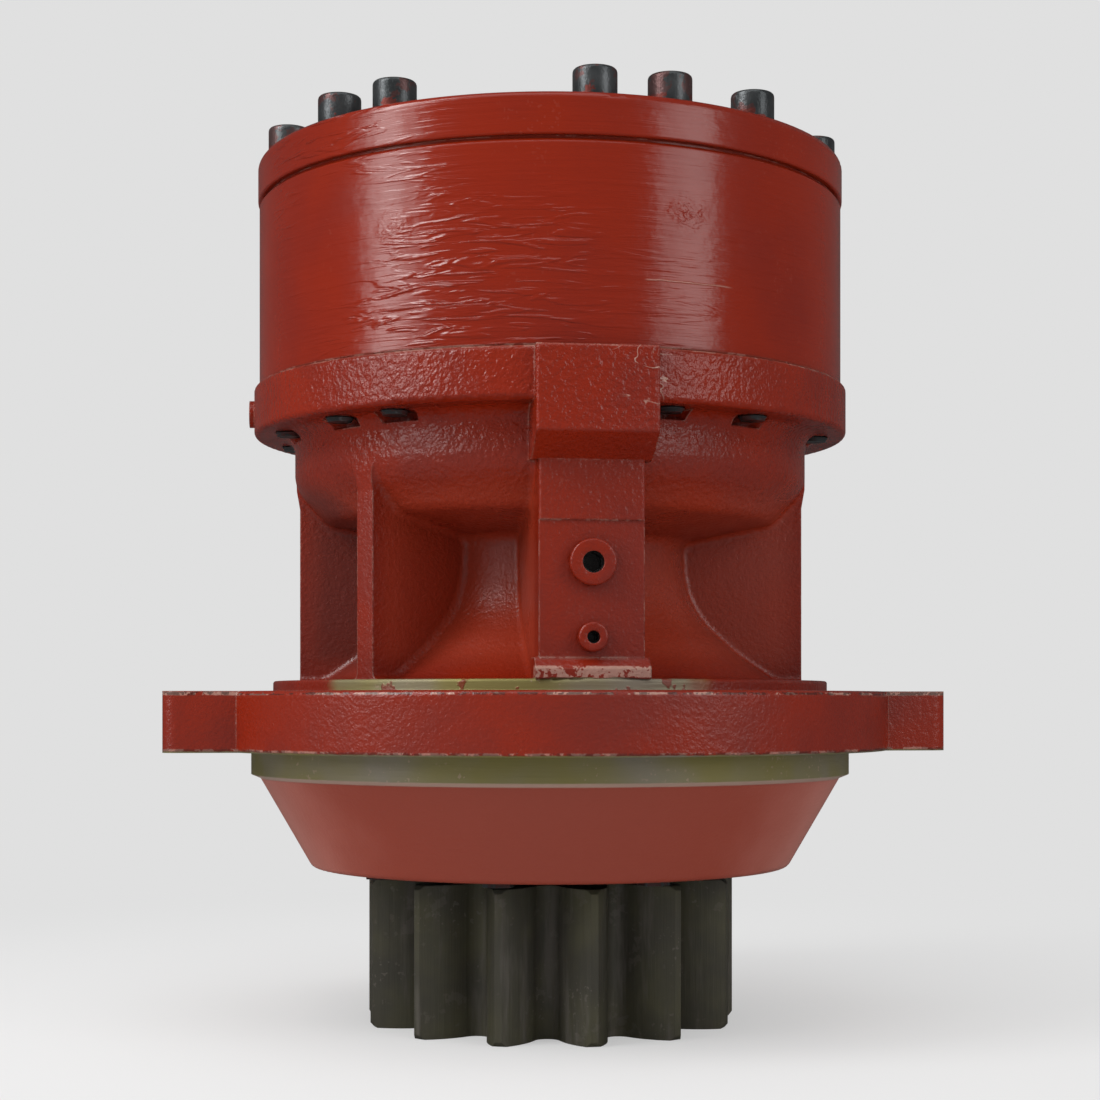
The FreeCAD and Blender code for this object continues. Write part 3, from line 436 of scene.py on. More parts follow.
# colours, and where each finish lies on the casting: heights and radii in metres, azimuths in degrees
castPaint = {
    "paint": {"base": enamel["red"], "shade": enamel["deepRed"], "speck": enamel["paleSpeck"], "size": 16.0, "specks": 0.08},
    "edgeRadius": 0.0016,
    "paleEdge": (0.5, 0.36, 0.29, 1.0),
    "darkChip": (0.03, 0.012, 0.009, 1.0),

    # painted light: a lighter red in the pockets between the ribs, within these radii and heights
    "paintedPocketLight": {"colour": (0.29, 0.033, 0.0135, 1.0), "share": 0.8},
    "pocketRadius": (0.157, 0.134),
    "pocketFoot": (0.04, 0.06),
    "pocketTop": (0.178, 0.165),
    # painted shade: a dark red on the pocket faces on the left side
    "paintedPocketShade": {"colour": (0.075, 0.009, 0.006, 1.0), "share": 0.7},
    "pocketShadeSide": {"middle": -92.0, "reach": (0.86, 0.96)},

    "cone": {"high": -0.0163, "ragged": 0.0002},
    "coneRed": (0.245, 0.034, 0.0155, 1.0),
    # painted sheen, with some dust: a paler red on the cone's sides away from the front
    "coneSheenAndDust": {"colour": (0.46, 0.17, 0.135, 1.0), "share": 0.8},
    "coneFront": {"middle": -8.0, "reach": (0.25, 0.85)},

    "edgeChips": {"size": 70.0, "amount": 0.72},
    "edgeWear": {"body": 0.05, "flange": 0.22, "chipped": 0.42},
    "flangeTop": (0.037, 0.034),
    "seam": {"low": 0.2138, "high": 0.2158, "inside": 0.17, "ragged": 0.0012},
    "seamWear": (0.07, 0.28),
    "scratch": {"centre": (0.026, -0.183, 0.203), "radius": 0.024},

    "flangeEdge": {"low": 0.0322, "high": 0.0341, "inside": 0.2033, "ragged": 0.0014},
    "flangeFoot": {"low": -0.0006, "high": 0.002, "inside": 0.2033, "ragged": 0.0014},
    "flangeFootWear": 0.7,
    # the pad's foot ledge; the pale patches here and on the flange's edges are worn paint and painted glints
    "padFoot": {"low": 0.0412, "high": 0.0474, "inside": 0.1611, "ragged": 0.001},
    "wornAndGlinting": {"size": 48.0, "amount": 0.75},
    "wornAndGlintShare": 0.45,
    "nicks": {"size": 130.0, "amount": 0.85},
    "nickWear": 0.7,

    "steel": {"base": (0.235, 0.205, 0.066, 1.0), "shade": (0.25, 0.222, 0.18, 1.0), "speck": (0.5, 0.36, 0.29, 1.0),
              "size": 11.0, "specks": 0.5},
    "pilot": {"low": -0.0146, "high": 0.0006, "inside": 0.1, "ragged": 0.0006},
    "mountFace": {"low": -0.0005, "high": 0.0007, "inside": 0.179, "ragged": 0.0012},
    "chamfer": {"low": -0.0164, "high": -0.0143, "inside": 0.17, "ragged": 0.0003},
    "ring": {"low": 0.0345, "high": 0.0411, "inside": 0.158, "outside": 0.1676, "ragged": 0.002},
    "ringFront": {"middle": -16.0, "reach": (0.75, 0.84)},
    "ringPaint": {"size": 34.0, "amount": 0.5},
    "ringPainted": 0.85,

    "glossyTop": {"low": 0.171, "ragged": 0.006, "edge": 0.006},
    "paintRough": (0.27, 0.2),
    "driftRough": 0.1,
    "coneRough": 0.46,
    "steelRough": 0.5,
    "steelMetallic": 0.45,

    "skin": {"size": 300.0, "grain": 0.35, "pits": 0.1},
    "peelRise": (0.1, 0.175),
    "peel": (0.4, 1.0),
    "grain": {"scale": 620.0, "detail": 2.0},
    "grainHeight": 0.3,
    "turned": {"lines": 0.25, "ridges": 0.1},
    "coneTurned": 0.6,
    "skinDepth": 0.001,
}


# enamel of the casting: painted light (a brighter red) between the ribs and painted shade in the left pocket, a painted
# sheen with some dust on the cone's sides, dull on the cone, worn at its edges with painted glints along the flange's
# edges and the pad's foot ledge, bare where it was machined
def makeCastPaint():
    s = castPaint
    material, tree, shader, where = startMaterial("redEnamelOnCasting")
    band = lambda name: maskOf(tree, where, "band", s[name])
    chips = lambda name: maskOf(tree, where, "chips", s[name])
    edges = useGroup(tree, groups["softEdges"], radius=s["edgeRadius"])
    height = split(tree, where)["Z"]
    radius = vectorMath(tree, "LENGTH", flattened(tree, where))

    paint = driftOf(tree, where, s["paint"])
    # painted light: the pockets between the ribs get a lighter red
    paintedPocketLight = product(tree, smoothStep(tree, radius, *s["pocketRadius"]),
                        smoothStep(tree, height, *s["pocketFoot"]), smoothStep(tree, height, *s["pocketTop"]))
    share = product(tree, paintedPocketLight, s["paintedPocketLight"]["share"])
    colour = mixColour(tree, share, paint["Color"], s["paintedPocketLight"]["colour"])
    # painted shade: the pocket faces on the left side get a dark red
    paintedPocketShade = product(tree, paintedPocketLight, facingSide(tree, where, **s["pocketShadeSide"]), s["paintedPocketShade"]["share"])
    colour = mixColour(tree, paintedPocketShade, colour, s["paintedPocketShade"]["colour"])
    # painted sheen, with some dust: the cone turns paler towards its sides, away from the front
    sheenAndDust = minus(tree, 1.0, facingSide(tree, where, **s["coneFront"]))
    sheenAndDust = product(tree, sheenAndDust, s["coneSheenAndDust"]["share"])
    cone = band("cone")
    colour = mixColour(tree, cone, colour, mixColour(tree, sheenAndDust, s["coneRed"], s["coneSheenAndDust"]["colour"]))

    wear = s["edgeWear"]
    chipped = chips("edgeChips")
    onFlange = smoothStep(tree, height, *s["flangeTop"])
    plainWear = mixValue(tree, onFlange, wear["body"], wear["flange"])
    worn = product(tree, edges["Mask"], mixValue(tree, chipped, plainWear, wear["chipped"]))
    seam = product(tree, band("seam"), mixValue(tree, chipped, *s["seamWear"]))
    worn = strongest(tree, worn, seam, makeScratches(tree, where, **s["scratch"]))
    colour = mixColour(tree, worn, colour, s["paleEdge"])

    # pale patches on the flange's edges and the pad's foot ledge: worn paint and painted glints; dark nicks on the
    # flange's edges
    rim = strongest(tree, band("flangeEdge"), product(tree, band("flangeFoot"), s["flangeFootWear"]))
    nicks = chips("nicks")
    wornAndGlinting = strongest(tree, product(tree, rim, chips("wornAndGlinting")), product(tree, band("padFoot"), nicks))
    colour = mixColour(tree, product(tree, wornAndGlinting, s["wornAndGlintShare"]), colour, s["paleEdge"])
    colour = mixColour(tree, product(tree, rim, nicks, s["nickWear"]), colour, s["darkChip"])

    unpainted = minus(tree, 1.0, product(tree, chips("ringPaint"), s["ringPainted"]))
    ring = product(tree, band("ring"), unpainted, facingSide(tree, where, **s["ringFront"]))
    bare = strongest(tree, band("pilot"), band("mountFace"), ring)
    colour = mixColour(tree, bare, colour, driftOf(tree, where, s["steel"])["Color"])
    chamfer = band("chamfer")
    colour = mixColour(tree, chamfer, colour, s["paleEdge"])
    bare = strongest(tree, bare, chamfer)
    tree.links.new(colour, shader.inputs["Base Color"])
    tree.links.new(mixValue(tree, bare, 0.0, s["steelMetallic"]), shader.inputs["Metallic"])

    rough = mixValue(tree, band("glossyTop"), *s["paintRough"])
    rough = total(tree, rough, product(tree, paint["Mask"], s["driftRough"]))
    rough = mixValue(tree, cone, rough, s["coneRough"])
    tree.links.new(mixValue(tree, bare, rough, s["steelRough"]), shader.inputs["Roughness"])

    peel = mixValue(tree, smoothStep(tree, height, *s["peelRise"]), *s["peel"])
    skin = product(tree, skinOf(tree, where, "castSkin", s["skin"]), peel)
    skin = total(tree, skin, product(tree, noiseAt(tree, where, **s["grain"]), s["grainHeight"]))
    turned = skinOf(tree, where, "turnedSkin", s["turned"])
    smooth = strongest(tree, bare, product(tree, cone, s["coneTurned"]))
    bumpInto(tree, shader, mixValue(tree, smooth, skin, turned), s["skinDepth"], edges["Normal"])
    return material


portPlugs = {
    "faceY": -0.16,
    "washer": 0.0015,
    "collar": 0.005,
    "depth": 0.014,
    "rim": 0.0013,
    "rimSteps": 4,
    "rimProfile": 0.55,
    "lip": 0.7,
    "countersink": 0.0004,
    "mouth": 0.0035,
    "socket": (0.0005, 0.0075),
    "sides": 64,
    "smoothAngle": 35.0,
    "drain": {"z": 0.1024, "collarRadius": 0.0125, "holeRadius": 0.00585, "shank": 0.0089, "flats": 0.0092,
              "node": "drain_plug"},
    "level": {"z": 0.0627, "collarRadius": 0.008, "holeRadius": 0.00345, "shank": 0.0054, "flats": 0.0053,
              "node": "level_plug"},
}

plugPaint = {
    "paint": {"base": enamel["red"], "shade": enamel["deepRed"], "speck": enamel["paleSpeck"], "size": 60.0, "specks": 0.2},
    "edgeRadius": 0.0008,
    "edgeChips": {"size": 120.0, "amount": 0.72},
    "edgeWear": (0.15, 0.6),
    "paleEdge": (0.45, 0.16, 0.11, 1.0),
    # painted shade inside the plugs' holes
    "paintedHoleShade": (0.006, 0.0035, 0.003, 1.0),
    "holeFade": (0.0004, 0.0001),
    "holeReach": (-0.1658, -0.1636),
    "rough": (0.22, 0.34),
    "skin": {"size": 330.0, "grain": 0.3, "pits": 0.0},
    "skinDepth": 0.0005,
}


# 1 within a plug's hole, seen along the hole
def holeMask(tree, where, plug):
    middle = vectorMath(tree, "SUBTRACT", where, (0.0, 0.0, plug["z"]))
    away = vectorMath(tree, "LENGTH", vectorMath(tree, "MULTIPLY", middle, (1.0, 0.0, 1.0)))
    return smoothStep(tree, away, *(plug["holeRadius"] + beyond for beyond in plugPaint["holeFade"]))


# enamel over both plugs; their holes are painted near black as painted shade, beginning a little inside the mouth
def makePlugPaint():
    s = plugPaint
    material, tree, shader, where = startMaterial("redEnamelOnPlugs")
    edges = useGroup(tree, groups["softEdges"], radius=s["edgeRadius"])
    paint = driftOf(tree, where, s["paint"])
    wear = mixValue(tree, maskOf(tree, where, "chips", s["edgeChips"]), *s["edgeWear"])
    colour = mixColour(tree, product(tree, edges["Mask"], wear), paint["Color"], s["paleEdge"])
    # painted shade: the holes turn near black from a little inside the mouth
    dark = strongest(tree, holeMask(tree, where, portPlugs["drain"]), holeMask(tree, where, portPlugs["level"]))
    dark = product(tree, dark, smoothStep(tree, split(tree, where)["Y"], *s["holeReach"]))
    tree.links.new(mixColour(tree, dark, colour, s["paintedHoleShade"]), shader.inputs["Base Color"])
    tree.links.new(mixValue(tree, paint["Mask"], *s["rough"]), shader.inputs["Roughness"])
    bumpInto(tree, shader, skinOf(tree, where, "castSkin", s["skin"]), s["skinDepth"], edges["Normal"])
    return material


wrinkle = {
    "edge": {"scale": 60.0, "detail": 3.0},
    "edgeReach": 1.6,
    "fade": (2.0, 0.5),
    "folds": {"detail": 2.0, "rough": 0.5, "stretch": (150.0, 150.0, 330.0), "swirl": 1.2},
    "height": 1.9,
}


# a patch where the wet paint has drawn itself into wrinkles
def makeWrinkle(tree, where, centre, radius):
    s = wrinkle
    away = vectorMath(tree, "DISTANCE", where, centre)
    away = total(tree, away, product(tree, noiseAt(tree, where, **s["edge"]), radius * s["edgeReach"]))
    patch = smoothStep(tree, away, *(radius * share for share in s["fade"]))
    return product(tree, patch, noiseAt(tree, where, **s["folds"]), s["height"])


turnedPaint = {
    "paint": {"base": enamel["red"], "shade": (0.165, 0.0092, 0.002, 1.0), "speck": enamel["paleSpeck"],
              "size": 9.0, "specks": 0.06},
    "edgeRadius": 0.0014,
    "edgeChips": {"size": 60.0, "amount": 0.72},
    "edgeWear": (0.1, 0.5),
    "paleEdge": (0.5, 0.3, 0.24, 1.0),
    "seam": {"low": 0.2138, "high": 0.2158, "inside": 0.17, "ragged": 0.0012},

    "scratch": {"low": 0.2503, "high": 0.2511, "inside": 0.17, "ragged": 0.0012, "edge": 0.0003},
    "scratchStart": (0.025, 0.029),
    "scratchEnd": (0.078, 0.072),
    "scratchFront": (0.0, -0.02),
    "scratchWear": 0.35,
    "scratchHeight": 0.5,

    "steel": {"base": (0.36, 0.35, 0.33, 1.0), "shade": (0.24, 0.22, 0.18, 1.0), "speck": enamel["red"],
              "size": 20.0, "specks": 0.4},
    "motorFace": {"low": 0.3504, "outside": 0.1225, "ragged": 0.0012},
    "inside": {"low": 0.31, "outside": 0.0815, "ragged": 0.0},
    "steelMetallic": 0.8,
    "paintRough": (0.17, 0.25),
    "steelRough": 0.36,

    "ridgeSide": {"middle": -38.0, "reach": (0.74, 0.97)},
    "ridges": (0.3, 1.05),
    "lines": 0.75,
    "peel": {"size": 130.0, "grain": 0.1, "pits": 0.0},
    "peelHeight": 0.25,
    "wrinkles": ((-35.8, 0.2797), (16.9, 0.2876)),
    "wrinkleAt": 0.175,
    "wrinkleRadius": 0.012,
    "lineDepth": 0.0006,
}


# enamel on the ring and the cover: glossy, brushed round, ridged on one side, with one long scratch
def makeTurnedPaint():
    s = turnedPaint
    material, tree, shader, where = startMaterial("redEnamelOnTurned")
    band = lambda name: maskOf(tree, where, "band", s[name])
    edges = useGroup(tree, groups["softEdges"], radius=s["edgeRadius"])
    paint = driftOf(tree, where, s["paint"])
    axes = split(tree, where)
    scratch = product(tree, band("scratch"), smoothStep(tree, axes["X"], *s["scratchStart"]),
                      smoothStep(tree, axes["X"], *s["scratchEnd"]), smoothStep(tree, axes["Y"], *s["scratchFront"]))
    chipped = mixValue(tree, maskOf(tree, where, "chips", s["edgeChips"]), *s["edgeWear"])
    worn = product(tree, strongest(tree, edges["Mask"], band("seam")), chipped)
    worn = strongest(tree, worn, product(tree, scratch, s["scratchWear"]))
    colour = mixColour(tree, worn, paint["Color"], s["paleEdge"])
    bare = strongest(tree, band("motorFace"), band("inside"))
    colour = mixColour(tree, bare, colour, driftOf(tree, where, s["steel"])["Color"])
    tree.links.new(colour, shader.inputs["Base Color"])
    tree.links.new(mixValue(tree, bare, 0.0, s["steelMetallic"]), shader.inputs["Metallic"])
    rough = mixValue(tree, paint["Mask"], *s["paintRough"])
    tree.links.new(mixValue(tree, bare, rough, s["steelRough"]), shader.inputs["Roughness"])

    ridges = mixValue(tree, facingSide(tree, where, **s["ridgeSide"]), *s["ridges"])
    height = skinOf(tree, where, "turnedSkin", {"lines": s["lines"], "ridges": ridges})
    peel = skinOf(tree, where, "castSkin", s["peel"])
    height = total(tree, height, product(tree, peel, s["peelHeight"]), product(tree, scratch, s["scratchHeight"]))
    for azimuth, z in s["wrinkles"]:
        centre = aroundAxis(s["wrinkleAt"], azimuth, z)
        height = total(tree, height, makeWrinkle(tree, where, centre, s["wrinkleRadius"]))
    bumpInto(tree, shader, height, s["lineDepth"], edges["Normal"])
    return material


pinionSteel = {
    "steel": {"base": (0.078, 0.073, 0.057, 1.0), "shade": (0.11, 0.104, 0.064, 1.0), "speck": (0.2, 0.175, 0.15, 1.0),
              "size": 20.0, "specks": 0.5},
    "metallic": 0.5,
    "edgeRadius": 0.0012,
    "marks": 0.8,
    "scuff": {"colour": (0.14, 0.126, 0.108, 1.0), "share": 0.65},
    "chips": {"size": 45.0, "amount": 0.42},
    "chipWear": 0.22,
    "edgeWear": 0.3,
    "worn": (0.2, 0.175, 0.15, 1.0),
    "rough": (0.4, 0.55),
    "markDepth": 0.0004,
}


def makePinionSteel():
    s = pinionSteel
    material, tree, shader, where = startMaterial("hobbedPinionSteel", Metallic=s["metallic"])
    edges = useGroup(tree, groups["softEdges"], radius=s["edgeRadius"])
    marks = useGroup(tree, groups["hobbed"], vector=where, marks=s["marks"])
    stain = product(tree, marks["Stain"], s["scuff"]["share"])
    colour = mixColour(tree, stain, driftOf(tree, where, s["steel"])["Color"], s["scuff"]["colour"])
    chips = product(tree, maskOf(tree, where, "chips", s["chips"]), s["chipWear"])
    wear = strongest(tree, chips, product(tree, edges["Mask"], s["edgeWear"]))
    tree.links.new(mixColour(tree, wear, colour, s["worn"]), shader.inputs["Base Color"])
    tree.links.new(mixValue(tree, marks["Stain"], *s["rough"]), shader.inputs["Roughness"])
    bumpInto(tree, shader, marks["Height"], s["markDepth"], edges["Normal"])
    return material


bareMetals = {
    "speck": (0.5, 0.5, 0.5, 1.0),
    "size": 30.0,
    "specks": 0.1,
    "roughSpread": 0.12,
    "lineDepth": 0.0002,
}


# the same recipe for every bare metal, each with its own colours and marks
def makeMetal(name, base, shade, rough, metallic, lines):
    s = bareMetals
    material, tree, shader, where = startMaterial(name, Metallic=metallic)
    drift = {"base": base, "shade": shade, "speck": s["speck"], "size": s["size"], "specks": s["specks"]}
    colour = driftOf(tree, where, drift)
    tree.links.new(colour["Color"], shader.inputs["Base Color"])
    tree.links.new(mixValue(tree, colour["Mask"], rough, rough + s["roughSpread"]), shader.inputs["Roughness"])
    bumpInto(tree, shader, skinOf(tree, where, "turnedSkin", {"lines": lines, "ridges": 0.0}), s["lineDepth"])
    return material


screwFinish = {
    "black": {"base": (0.046, 0.051, 0.053, 1.0), "shade": (0.085, 0.09, 0.093, 1.0), "speck": (0.25, 0.27, 0.28, 1.0),
              "size": 60.0, "specks": 0.6},
    "metallic": 0.7,
    "spray": {"size": 52.0, "amount": 0.7},
    "overspray": (0.17, 0.022, 0.012, 1.0),
    "foot": {"low": 0.3, "high": 0.3525, "ragged": 0.006},
    "sprayAbove": 0.35,
    "sprayAtFoot": 0.4,
    "edgeRadius": 0.0008,
    "rub": (0.25, 0.27, 0.28, 1.0),
    "edgeWear": 0.4,
    "rough": (0.33, 0.5),
    "grain": {"scale": 700.0, "detail": 2.0},
    "grainDepth": 0.0002,
}


# black oxide with red overspray, most of it at the foot of each head
def makeScrewFinish():
    s = screwFinish
    material, tree, shader, where = startMaterial("blackOxideScrew", Metallic=s["metallic"])
    edges = useGroup(tree, groups["softEdges"], radius=s["edgeRadius"])
    foot = product(tree, maskOf(tree, where, "band", s["foot"]), s["sprayAtFoot"])
    spray = product(tree, maskOf(tree, where, "chips", s["spray"]), total(tree, foot, s["sprayAbove"]))
    black = driftOf(tree, where, s["black"])["Color"]
    worn = mixColour(tree, product(tree, edges["Mask"], s["edgeWear"]), black, s["rub"])
    tree.links.new(mixColour(tree, spray, worn, s["overspray"]), shader.inputs["Base Color"])
    tree.links.new(mixValue(tree, spray, *s["rough"]), shader.inputs["Roughness"])
    bumpInto(tree, shader, noiseAt(tree, where, **s["grain"]), s["grainDepth"], edges["Normal"])
    return material


rubber = {
    "black": {"base": (0.018, 0.018, 0.018, 1), "shade": (0.03, 0.029, 0.028, 1), "speck": (0.08, 0.08, 0.08, 1),
              "size": 40.0, "specks": 0.2},
    "rough": 0.6,
    "grain": {"scale": 500.0, "detail": 2.0},
    "grainDepth": 0.0001,
}


def makeRubber():
    s = rubber
    material, tree, shader, where = startMaterial("nitrileRubber", Roughness=s["rough"])
    tree.links.new(driftOf(tree, where, s["black"])["Color"], shader.inputs["Base Color"])
    bumpInto(tree, shader, noiseAt(tree, where, **s["grain"]), s["grainDepth"])
    return material


materials = {
    "red_paint_cast": makeCastPaint(),
    "red_paint_turned": makeTurnedPaint(),
    "oiled_pinion_steel": makePinionSteel(),
    "black_oxide_steel": makeScrewFinish(),
    "bearing_steel": makeMetal("groundSteel", (0.5, 0.5, 0.49, 1), (0.42, 0.42, 0.41, 1), 0.2, 1.0, 0.25),
    "cage_brass": makeMetal("cageBrass", (0.55, 0.36, 0.13, 1), (0.45, 0.28, 0.1, 1), 0.3, 1.0, 0.4),
    "gear_steel": makeMetal("groundGearSteel", (0.3, 0.29, 0.27, 1), (0.22, 0.21, 0.19, 1), 0.28, 1.0, 0.4),
    "carrier_iron": makeMetal("machinedIron", (0.2, 0.195, 0.185, 1), (0.14, 0.135, 0.13, 1), 0.42, 0.85, 0.9),
    "pin_steel": makeMetal("turnedSteel", (0.42, 0.41, 0.39, 1), (0.33, 0.32, 0.3, 1), 0.27, 1.0, 0.7),
    "bush_bronze": makeMetal("bearingBronze", (0.46, 0.25, 0.1, 1), (0.36, 0.19, 0.08, 1), 0.32, 1.0, 0.5),
    "copper_washer": makeMetal("paintedWasher", (0.23, 0.03, 0.015, 1), (0.3, 0.1, 0.05, 1), 0.4, 0.3, 0.2),
    "seal_rubber": makeRubber(),
    "plug_paint": makePlugPaint(),
}
print("materials made", len(materials))


def dressNodes():
    slotOf = {p["node"]: p["material_slot"] for p in frame["record"]["subparts"]}
    for name, obj in frame["nodes"].items():
        for slot in obj.material_slots:
            slot.link = "OBJECT"
            slot.material = materials[slotOf[name]]


dressNodes()
print("parts painted")


def deselectAll():
    bpy.ops.object.select_all(action="DESELECT")


def addCylinder(sides, radius, depth, location, rotation=(0, 0, 0)):
    deselectAll()
    bpy.ops.mesh.primitive_cylinder_add(vertices=sides, radius=radius, depth=depth, location=location, rotation=rotation)
    return bpy.context.object


# the corner radius of a hexagon, from the distance between its flats
def hexRadius(flats):
    return flats / math.cos(math.pi / 6) / 2


# opens the active object for editing with just those faces or edges selected that the test takes
def pick(kind, test):
    bpy.ops.object.mode_set(mode="EDIT")
    bpy.ops.mesh.select_mode(type=kind)
    bpy.ops.mesh.select_all(action="DESELECT")
    mesh = bmesh.from_edit_mesh(bpy.context.object.data)
    for item in (mesh.faces if kind == "FACE" else mesh.edges):
        if test(item):
            item.select_set(True)
    bmesh.update_edit_mesh(bpy.context.object.data)


def extrude(offset):
    bpy.ops.mesh.extrude_region_move(TRANSFORM_OT_translate={"value": offset})


def cutWith(tool, obj):
    cut = obj.modifiers.new("cut", "BOOLEAN")
    cut.operation, cut.solver, cut.object = "DIFFERENCE", "EXACT", tool
    bpy.context.view_layer.objects.active = obj
    bpy.ops.object.modifier_apply(modifier="cut")
    bpy.data.objects.remove(tool)


# puts a piece's object at the origin, unturned and unscaled, and smooths its shading
def settle(obj, angle):
    bpy.ops.object.mode_set(mode="OBJECT")
    deselectAll()
    obj.select_set(True)
    bpy.context.view_layer.objects.active = obj
    bpy.ops.object.transform_apply(location=True, rotation=True, scale=True)
    bpy.ops.object.shade_smooth_by_angle(angle=math.radians(angle))


def finishPiece(obj, material, body, slotName, *nodes):
    obj.data.materials.clear()
    obj.data.materials.append(materials[material])
    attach(obj, body)
    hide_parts(*nodes)


coverScrew = {
    "circle": 0.1596,
    "azimuths": (-81.2, -55.0, -39.8, 0.6, 15.8, 36.5, 73.8),
    "underHead": 0.348,
    "headRadius": 0.012,
    "headHeight": 0.016,
    "rimRadius": 0.0026,
    "rimSteps": 5,
    "rimProfile": 0.6,
    "shankRadius": 0.008,
    "threadTop": 0.1975,
    "end": 0.1823,
    "pitch": 0.002,
    "threadRoot": 0.86,
    "endTaper": 0.82,
    "socketFlats": 0.014,
    "socketDepth": 0.008,
    "socketSpare": 0.002,
    "sides": 48,
    "smoothAngle": 40.0,
}

tiny = 1e-5


# a socket-head screw: rounded rim, hex socket, and a cut thread where its end shows under the flange
def makeCoverScrew():
    s = coverScrew
    axis = aroundAxis(s["circle"], 0.0)
    top = s["underHead"] + s["headHeight"]
    half = s["headHeight"] / 2
    screw = addCylinder(s["sides"], s["headRadius"], s["headHeight"], axis + Vector((0, 0, s["underHead"] + half)))
    screw.name = "coverScrew"
    pick("EDGE", lambda e: all(v.co.z > half - tiny for v in e.verts))
    bpy.ops.mesh.bevel(offset=s["rimRadius"], segments=s["rimSteps"], profile=s["rimProfile"])
    pick("FACE", lambda f: f.normal.z < -0.9)
    bpy.ops.mesh.inset(thickness=s["headRadius"] - s["shankRadius"])
    extrude((0, 0, s["threadTop"] - s["underHead"]))
    centre = axis + Vector((0, 0, s["threadTop"]))
    turns = int((s["threadTop"] - s["end"]) / s["pitch"])
    for groove in range(turns):
        for share in (s["threadRoot"], 1 / s["threadRoot"]):
            extrude((0, 0, -s["pitch"] / 2))
            bpy.ops.transform.resize(value=(share, share, 1.0), center_override=centre)
    bpy.ops.transform.resize(value=(s["endTaper"], s["endTaper"], 1.0), center_override=centre)
    bpy.ops.object.mode_set(mode="OBJECT")
    at = axis + Vector((0, 0, top - s["socketDepth"] / 2 + s["socketSpare"] / 2))
    cutWith(addCylinder(6, hexRadius(s["socketFlats"]), s["socketDepth"] + s["socketSpare"], at), screw)
    settle(screw, s["smoothAngle"])
    return screw


# one screw to each place, turned a little about its own axis so that the sockets don't line up
def placeCoverScrews():
    s = coverScrew
    first = makeCoverScrew()
    axis = Matrix.Translation(aroundAxis(s["circle"], 0.0))
    places = [a + turn for a in s["azimuths"] for turn in (0.0, 180.0)]
    for index, azimuth in enumerate(places, 1):
        mesh = first.data.copy()
        twist = axis @ Matrix.Rotation(random.uniform(0, math.pi / 3), 4, "Z") @ axis.inverted()
        mesh.transform(Matrix.Rotation(math.radians(azimuth), 4, "Z") @ twist)
        screw = bpy.data.objects.new("coverScrew%02d" % index, mesh)
        bpy.context.scene.collection.objects.link(screw)
        finishPiece(screw, "black_oxide_steel", "housing", "black_oxide_steel", "cover_screws")
    bpy.data.objects.remove(first)


placeCoverScrews()
print("cover screws placed")


# a painted plug: rounded collar, a lip round a countersunk hole, and the hex deep inside
def makePlug(kind):
    s = portPlugs
    p = s[kind]
    upright = (math.pi / 2, 0, 0)
    back = s["faceY"] - s["washer"]
    front = back - s["collar"]
    half = s["collar"] / 2
    centre = Vector((0, (back + front) / 2, p["z"]))
    plug = addCylinder(s["sides"], p["collarRadius"], s["collar"], centre, upright)
    plug.name = kind + "Plug"
    pick("EDGE", lambda e: all(v.co.z > half - tiny for v in e.verts))
    bpy.ops.mesh.bevel(offset=s["rim"], segments=s["rimSteps"], profile=s["rimProfile"])
    pick("FACE", lambda f: f.normal.z > 0.99 and f.calc_center_median().xy.length < 0.001)
    lip = p["collarRadius"] - s["rim"] - p["holeRadius"]
    bpy.ops.mesh.inset(thickness=lip * s["lip"])
    bpy.ops.mesh.inset(thickness=lip * (1 - s["lip"]), depth=-s["countersink"])
    extrude((0, s["mouth"], 0))
    pick("FACE", lambda f: f.normal.z < -0.99 and f.calc_center_median().z < -half + tiny)
    bpy.ops.mesh.inset(thickness=p["collarRadius"] - p["shank"])
    extrude((0, s["depth"] + s["washer"], 0))
    bpy.ops.object.mode_set(mode="OBJECT")
    near, far = s["socket"]
    at = Vector((0, front + (near + far) / 2, p["z"]))
    cutWith(addCylinder(6, hexRadius(p["flats"]), far - near, at, upright), plug)
    settle(plug, s["smoothAngle"])
    finishPiece(plug, "plug_paint", "housing", "plug_paint", p["node"])


for kind in ("drain", "level"):
    makePlug(kind)
print("plugs made")


studio = {
    "backdrop": (0.745, 0.745, 0.745, 1.0),
    "ambient": 0.96,
    "glossAmbient": 0.14,
    "floorZ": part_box("pinion_shaft")[0].z,
    "floorSize": 9.0,
    "floorShade": (0.8, 0.8, 0.8, 1.0),
    "floorInGloss": (0.08, 0.08, 0.08, 1.0),
    "nearGlow": 0.55,
    "nearRadius": 0.2,
    "farRadius": 0.85,
}


# the backdrop as the camera sees it, a plain pale room for the light, and a dimmer one for reflections
def makeRoom():
    world = bpy.data.worlds.new("studioWorld")
    bpy.context.scene.world = world
    world.use_nodes = True
    tree = world.node_tree
    tree.nodes.clear()
    ray = put(tree, "ShaderNodeLightPath").outputs
    strength = mixValue(tree, ray["Is Glossy Ray"], studio["ambient"], studio["glossAmbient"])
    strength = mixValue(tree, ray["Is Camera Ray"], strength, 1.0)
    shade = put(tree, "ShaderNodeBackground", {"Color": studio["backdrop"], "Strength": strength})
    out = put(tree, "ShaderNodeOutputWorld")
    tree.links.new(shade.outputs[0], out.inputs["Surface"])


softBoxAim = Vector((0, 0, 0.12))

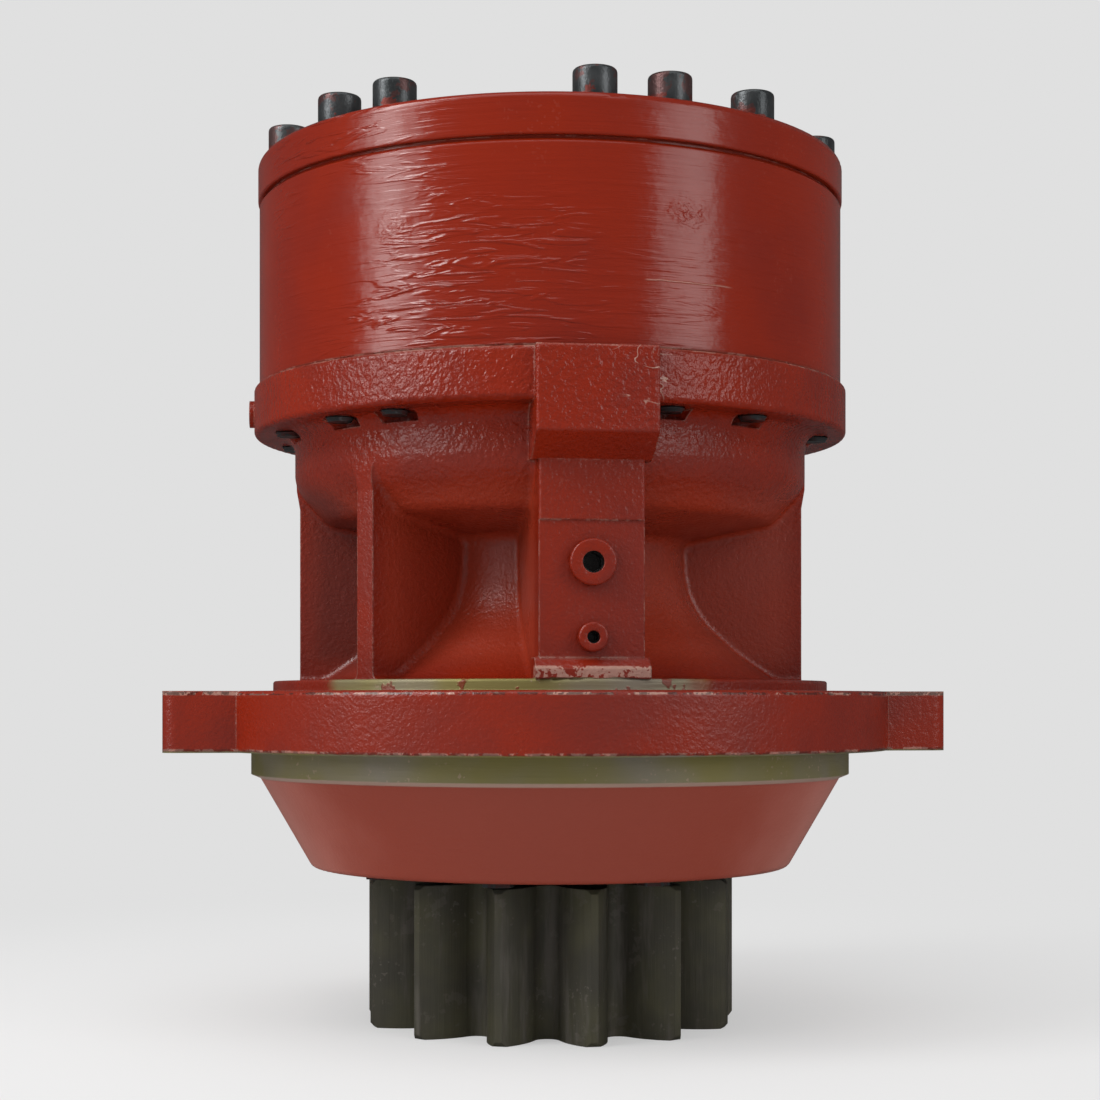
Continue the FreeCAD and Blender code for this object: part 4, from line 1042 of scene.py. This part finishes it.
softBoxes = {
    "left": {"azimuth": -68.0, "distance": 1.9, "height": 0.95, "size": (0.9, 1.45), "power": 9.0},
    "leftCore": {"azimuth": -69.0, "distance": 1.85, "height": 0.95, "size": (0.4, 1.3), "power": 5.0},
    "leftHigh": {"azimuth": -64.0, "distance": 1.3, "height": 1.35, "size": (0.7, 0.7), "power": 11.0},
    "right": {"azimuth": 43.0, "distance": 1.9, "height": 0.85, "size": (0.78, 1.4), "power": 7.2},
    "rightCore": {"azimuth": 46.5, "distance": 1.85, "height": 0.85, "size": (0.34, 1.3), "power": 0.9},
    "top": {"azimuth": -8.0, "distance": 0.9, "height": 1.9, "size": (1.6, 1.2), "power": 8.0},
}


def makeLights():
    for name, s in softBoxes.items():
        data = bpy.data.lights.new(name + "SoftBox", "AREA")
        data.shape = "RECTANGLE"
        data.size, data.size_y = s["size"]
        data.energy = s["power"]
        lamp = bpy.data.objects.new(name + "SoftBox", data)
        bpy.context.scene.collection.objects.link(lamp)
        lamp.location = aroundAxis(s["distance"], s["azimuth"], s["height"])
        lamp.rotation_euler = (softBoxAim - lamp.location).to_track_quat("-Z", "Y").to_euler()


# the floor fades into the backdrop away from the object and keeps its shadow near it
def makeFloor():
    deselectAll()
    bpy.ops.mesh.primitive_plane_add(size=studio["floorSize"], location=(0, 0, studio["floorZ"]))
    floor = bpy.context.object
    floor.name = "studioFloor"
    material = bpy.data.materials.new("paleFloor")
    material.use_nodes = True
    tree = material.node_tree
    tree.nodes.clear()
    ray = put(tree, "ShaderNodeLightPath").outputs
    away = vectorMath(tree, "LENGTH", put(tree, "ShaderNodeTexCoord").outputs["Object"])
    glow = smoothStep(tree, away, studio["nearRadius"], studio["farRadius"])
    glow = mixValue(tree, glow, studio["nearGlow"], 1.0)
    shade = mixColour(tree, ray["Is Glossy Ray"], studio["floorShade"], studio["floorInGloss"])
    matt = put(tree, "ShaderNodeBsdfDiffuse", {"Color": shade}).outputs[0]
    lit = put(tree, "ShaderNodeEmission", {"Color": studio["backdrop"], "Strength": 1.0}).outputs[0]
    share = product(tree, ray["Is Camera Ray"], glow)
    mixed = put(tree, "ShaderNodeMixShader", {0: share, 1: matt, 2: lit}).outputs[0]
    out = put(tree, "ShaderNodeOutputMaterial")
    tree.links.new(mixed, out.inputs["Surface"])
    floor.data.materials.append(material)


makeRoom()
makeLights()
makeFloor()
print("studio made")
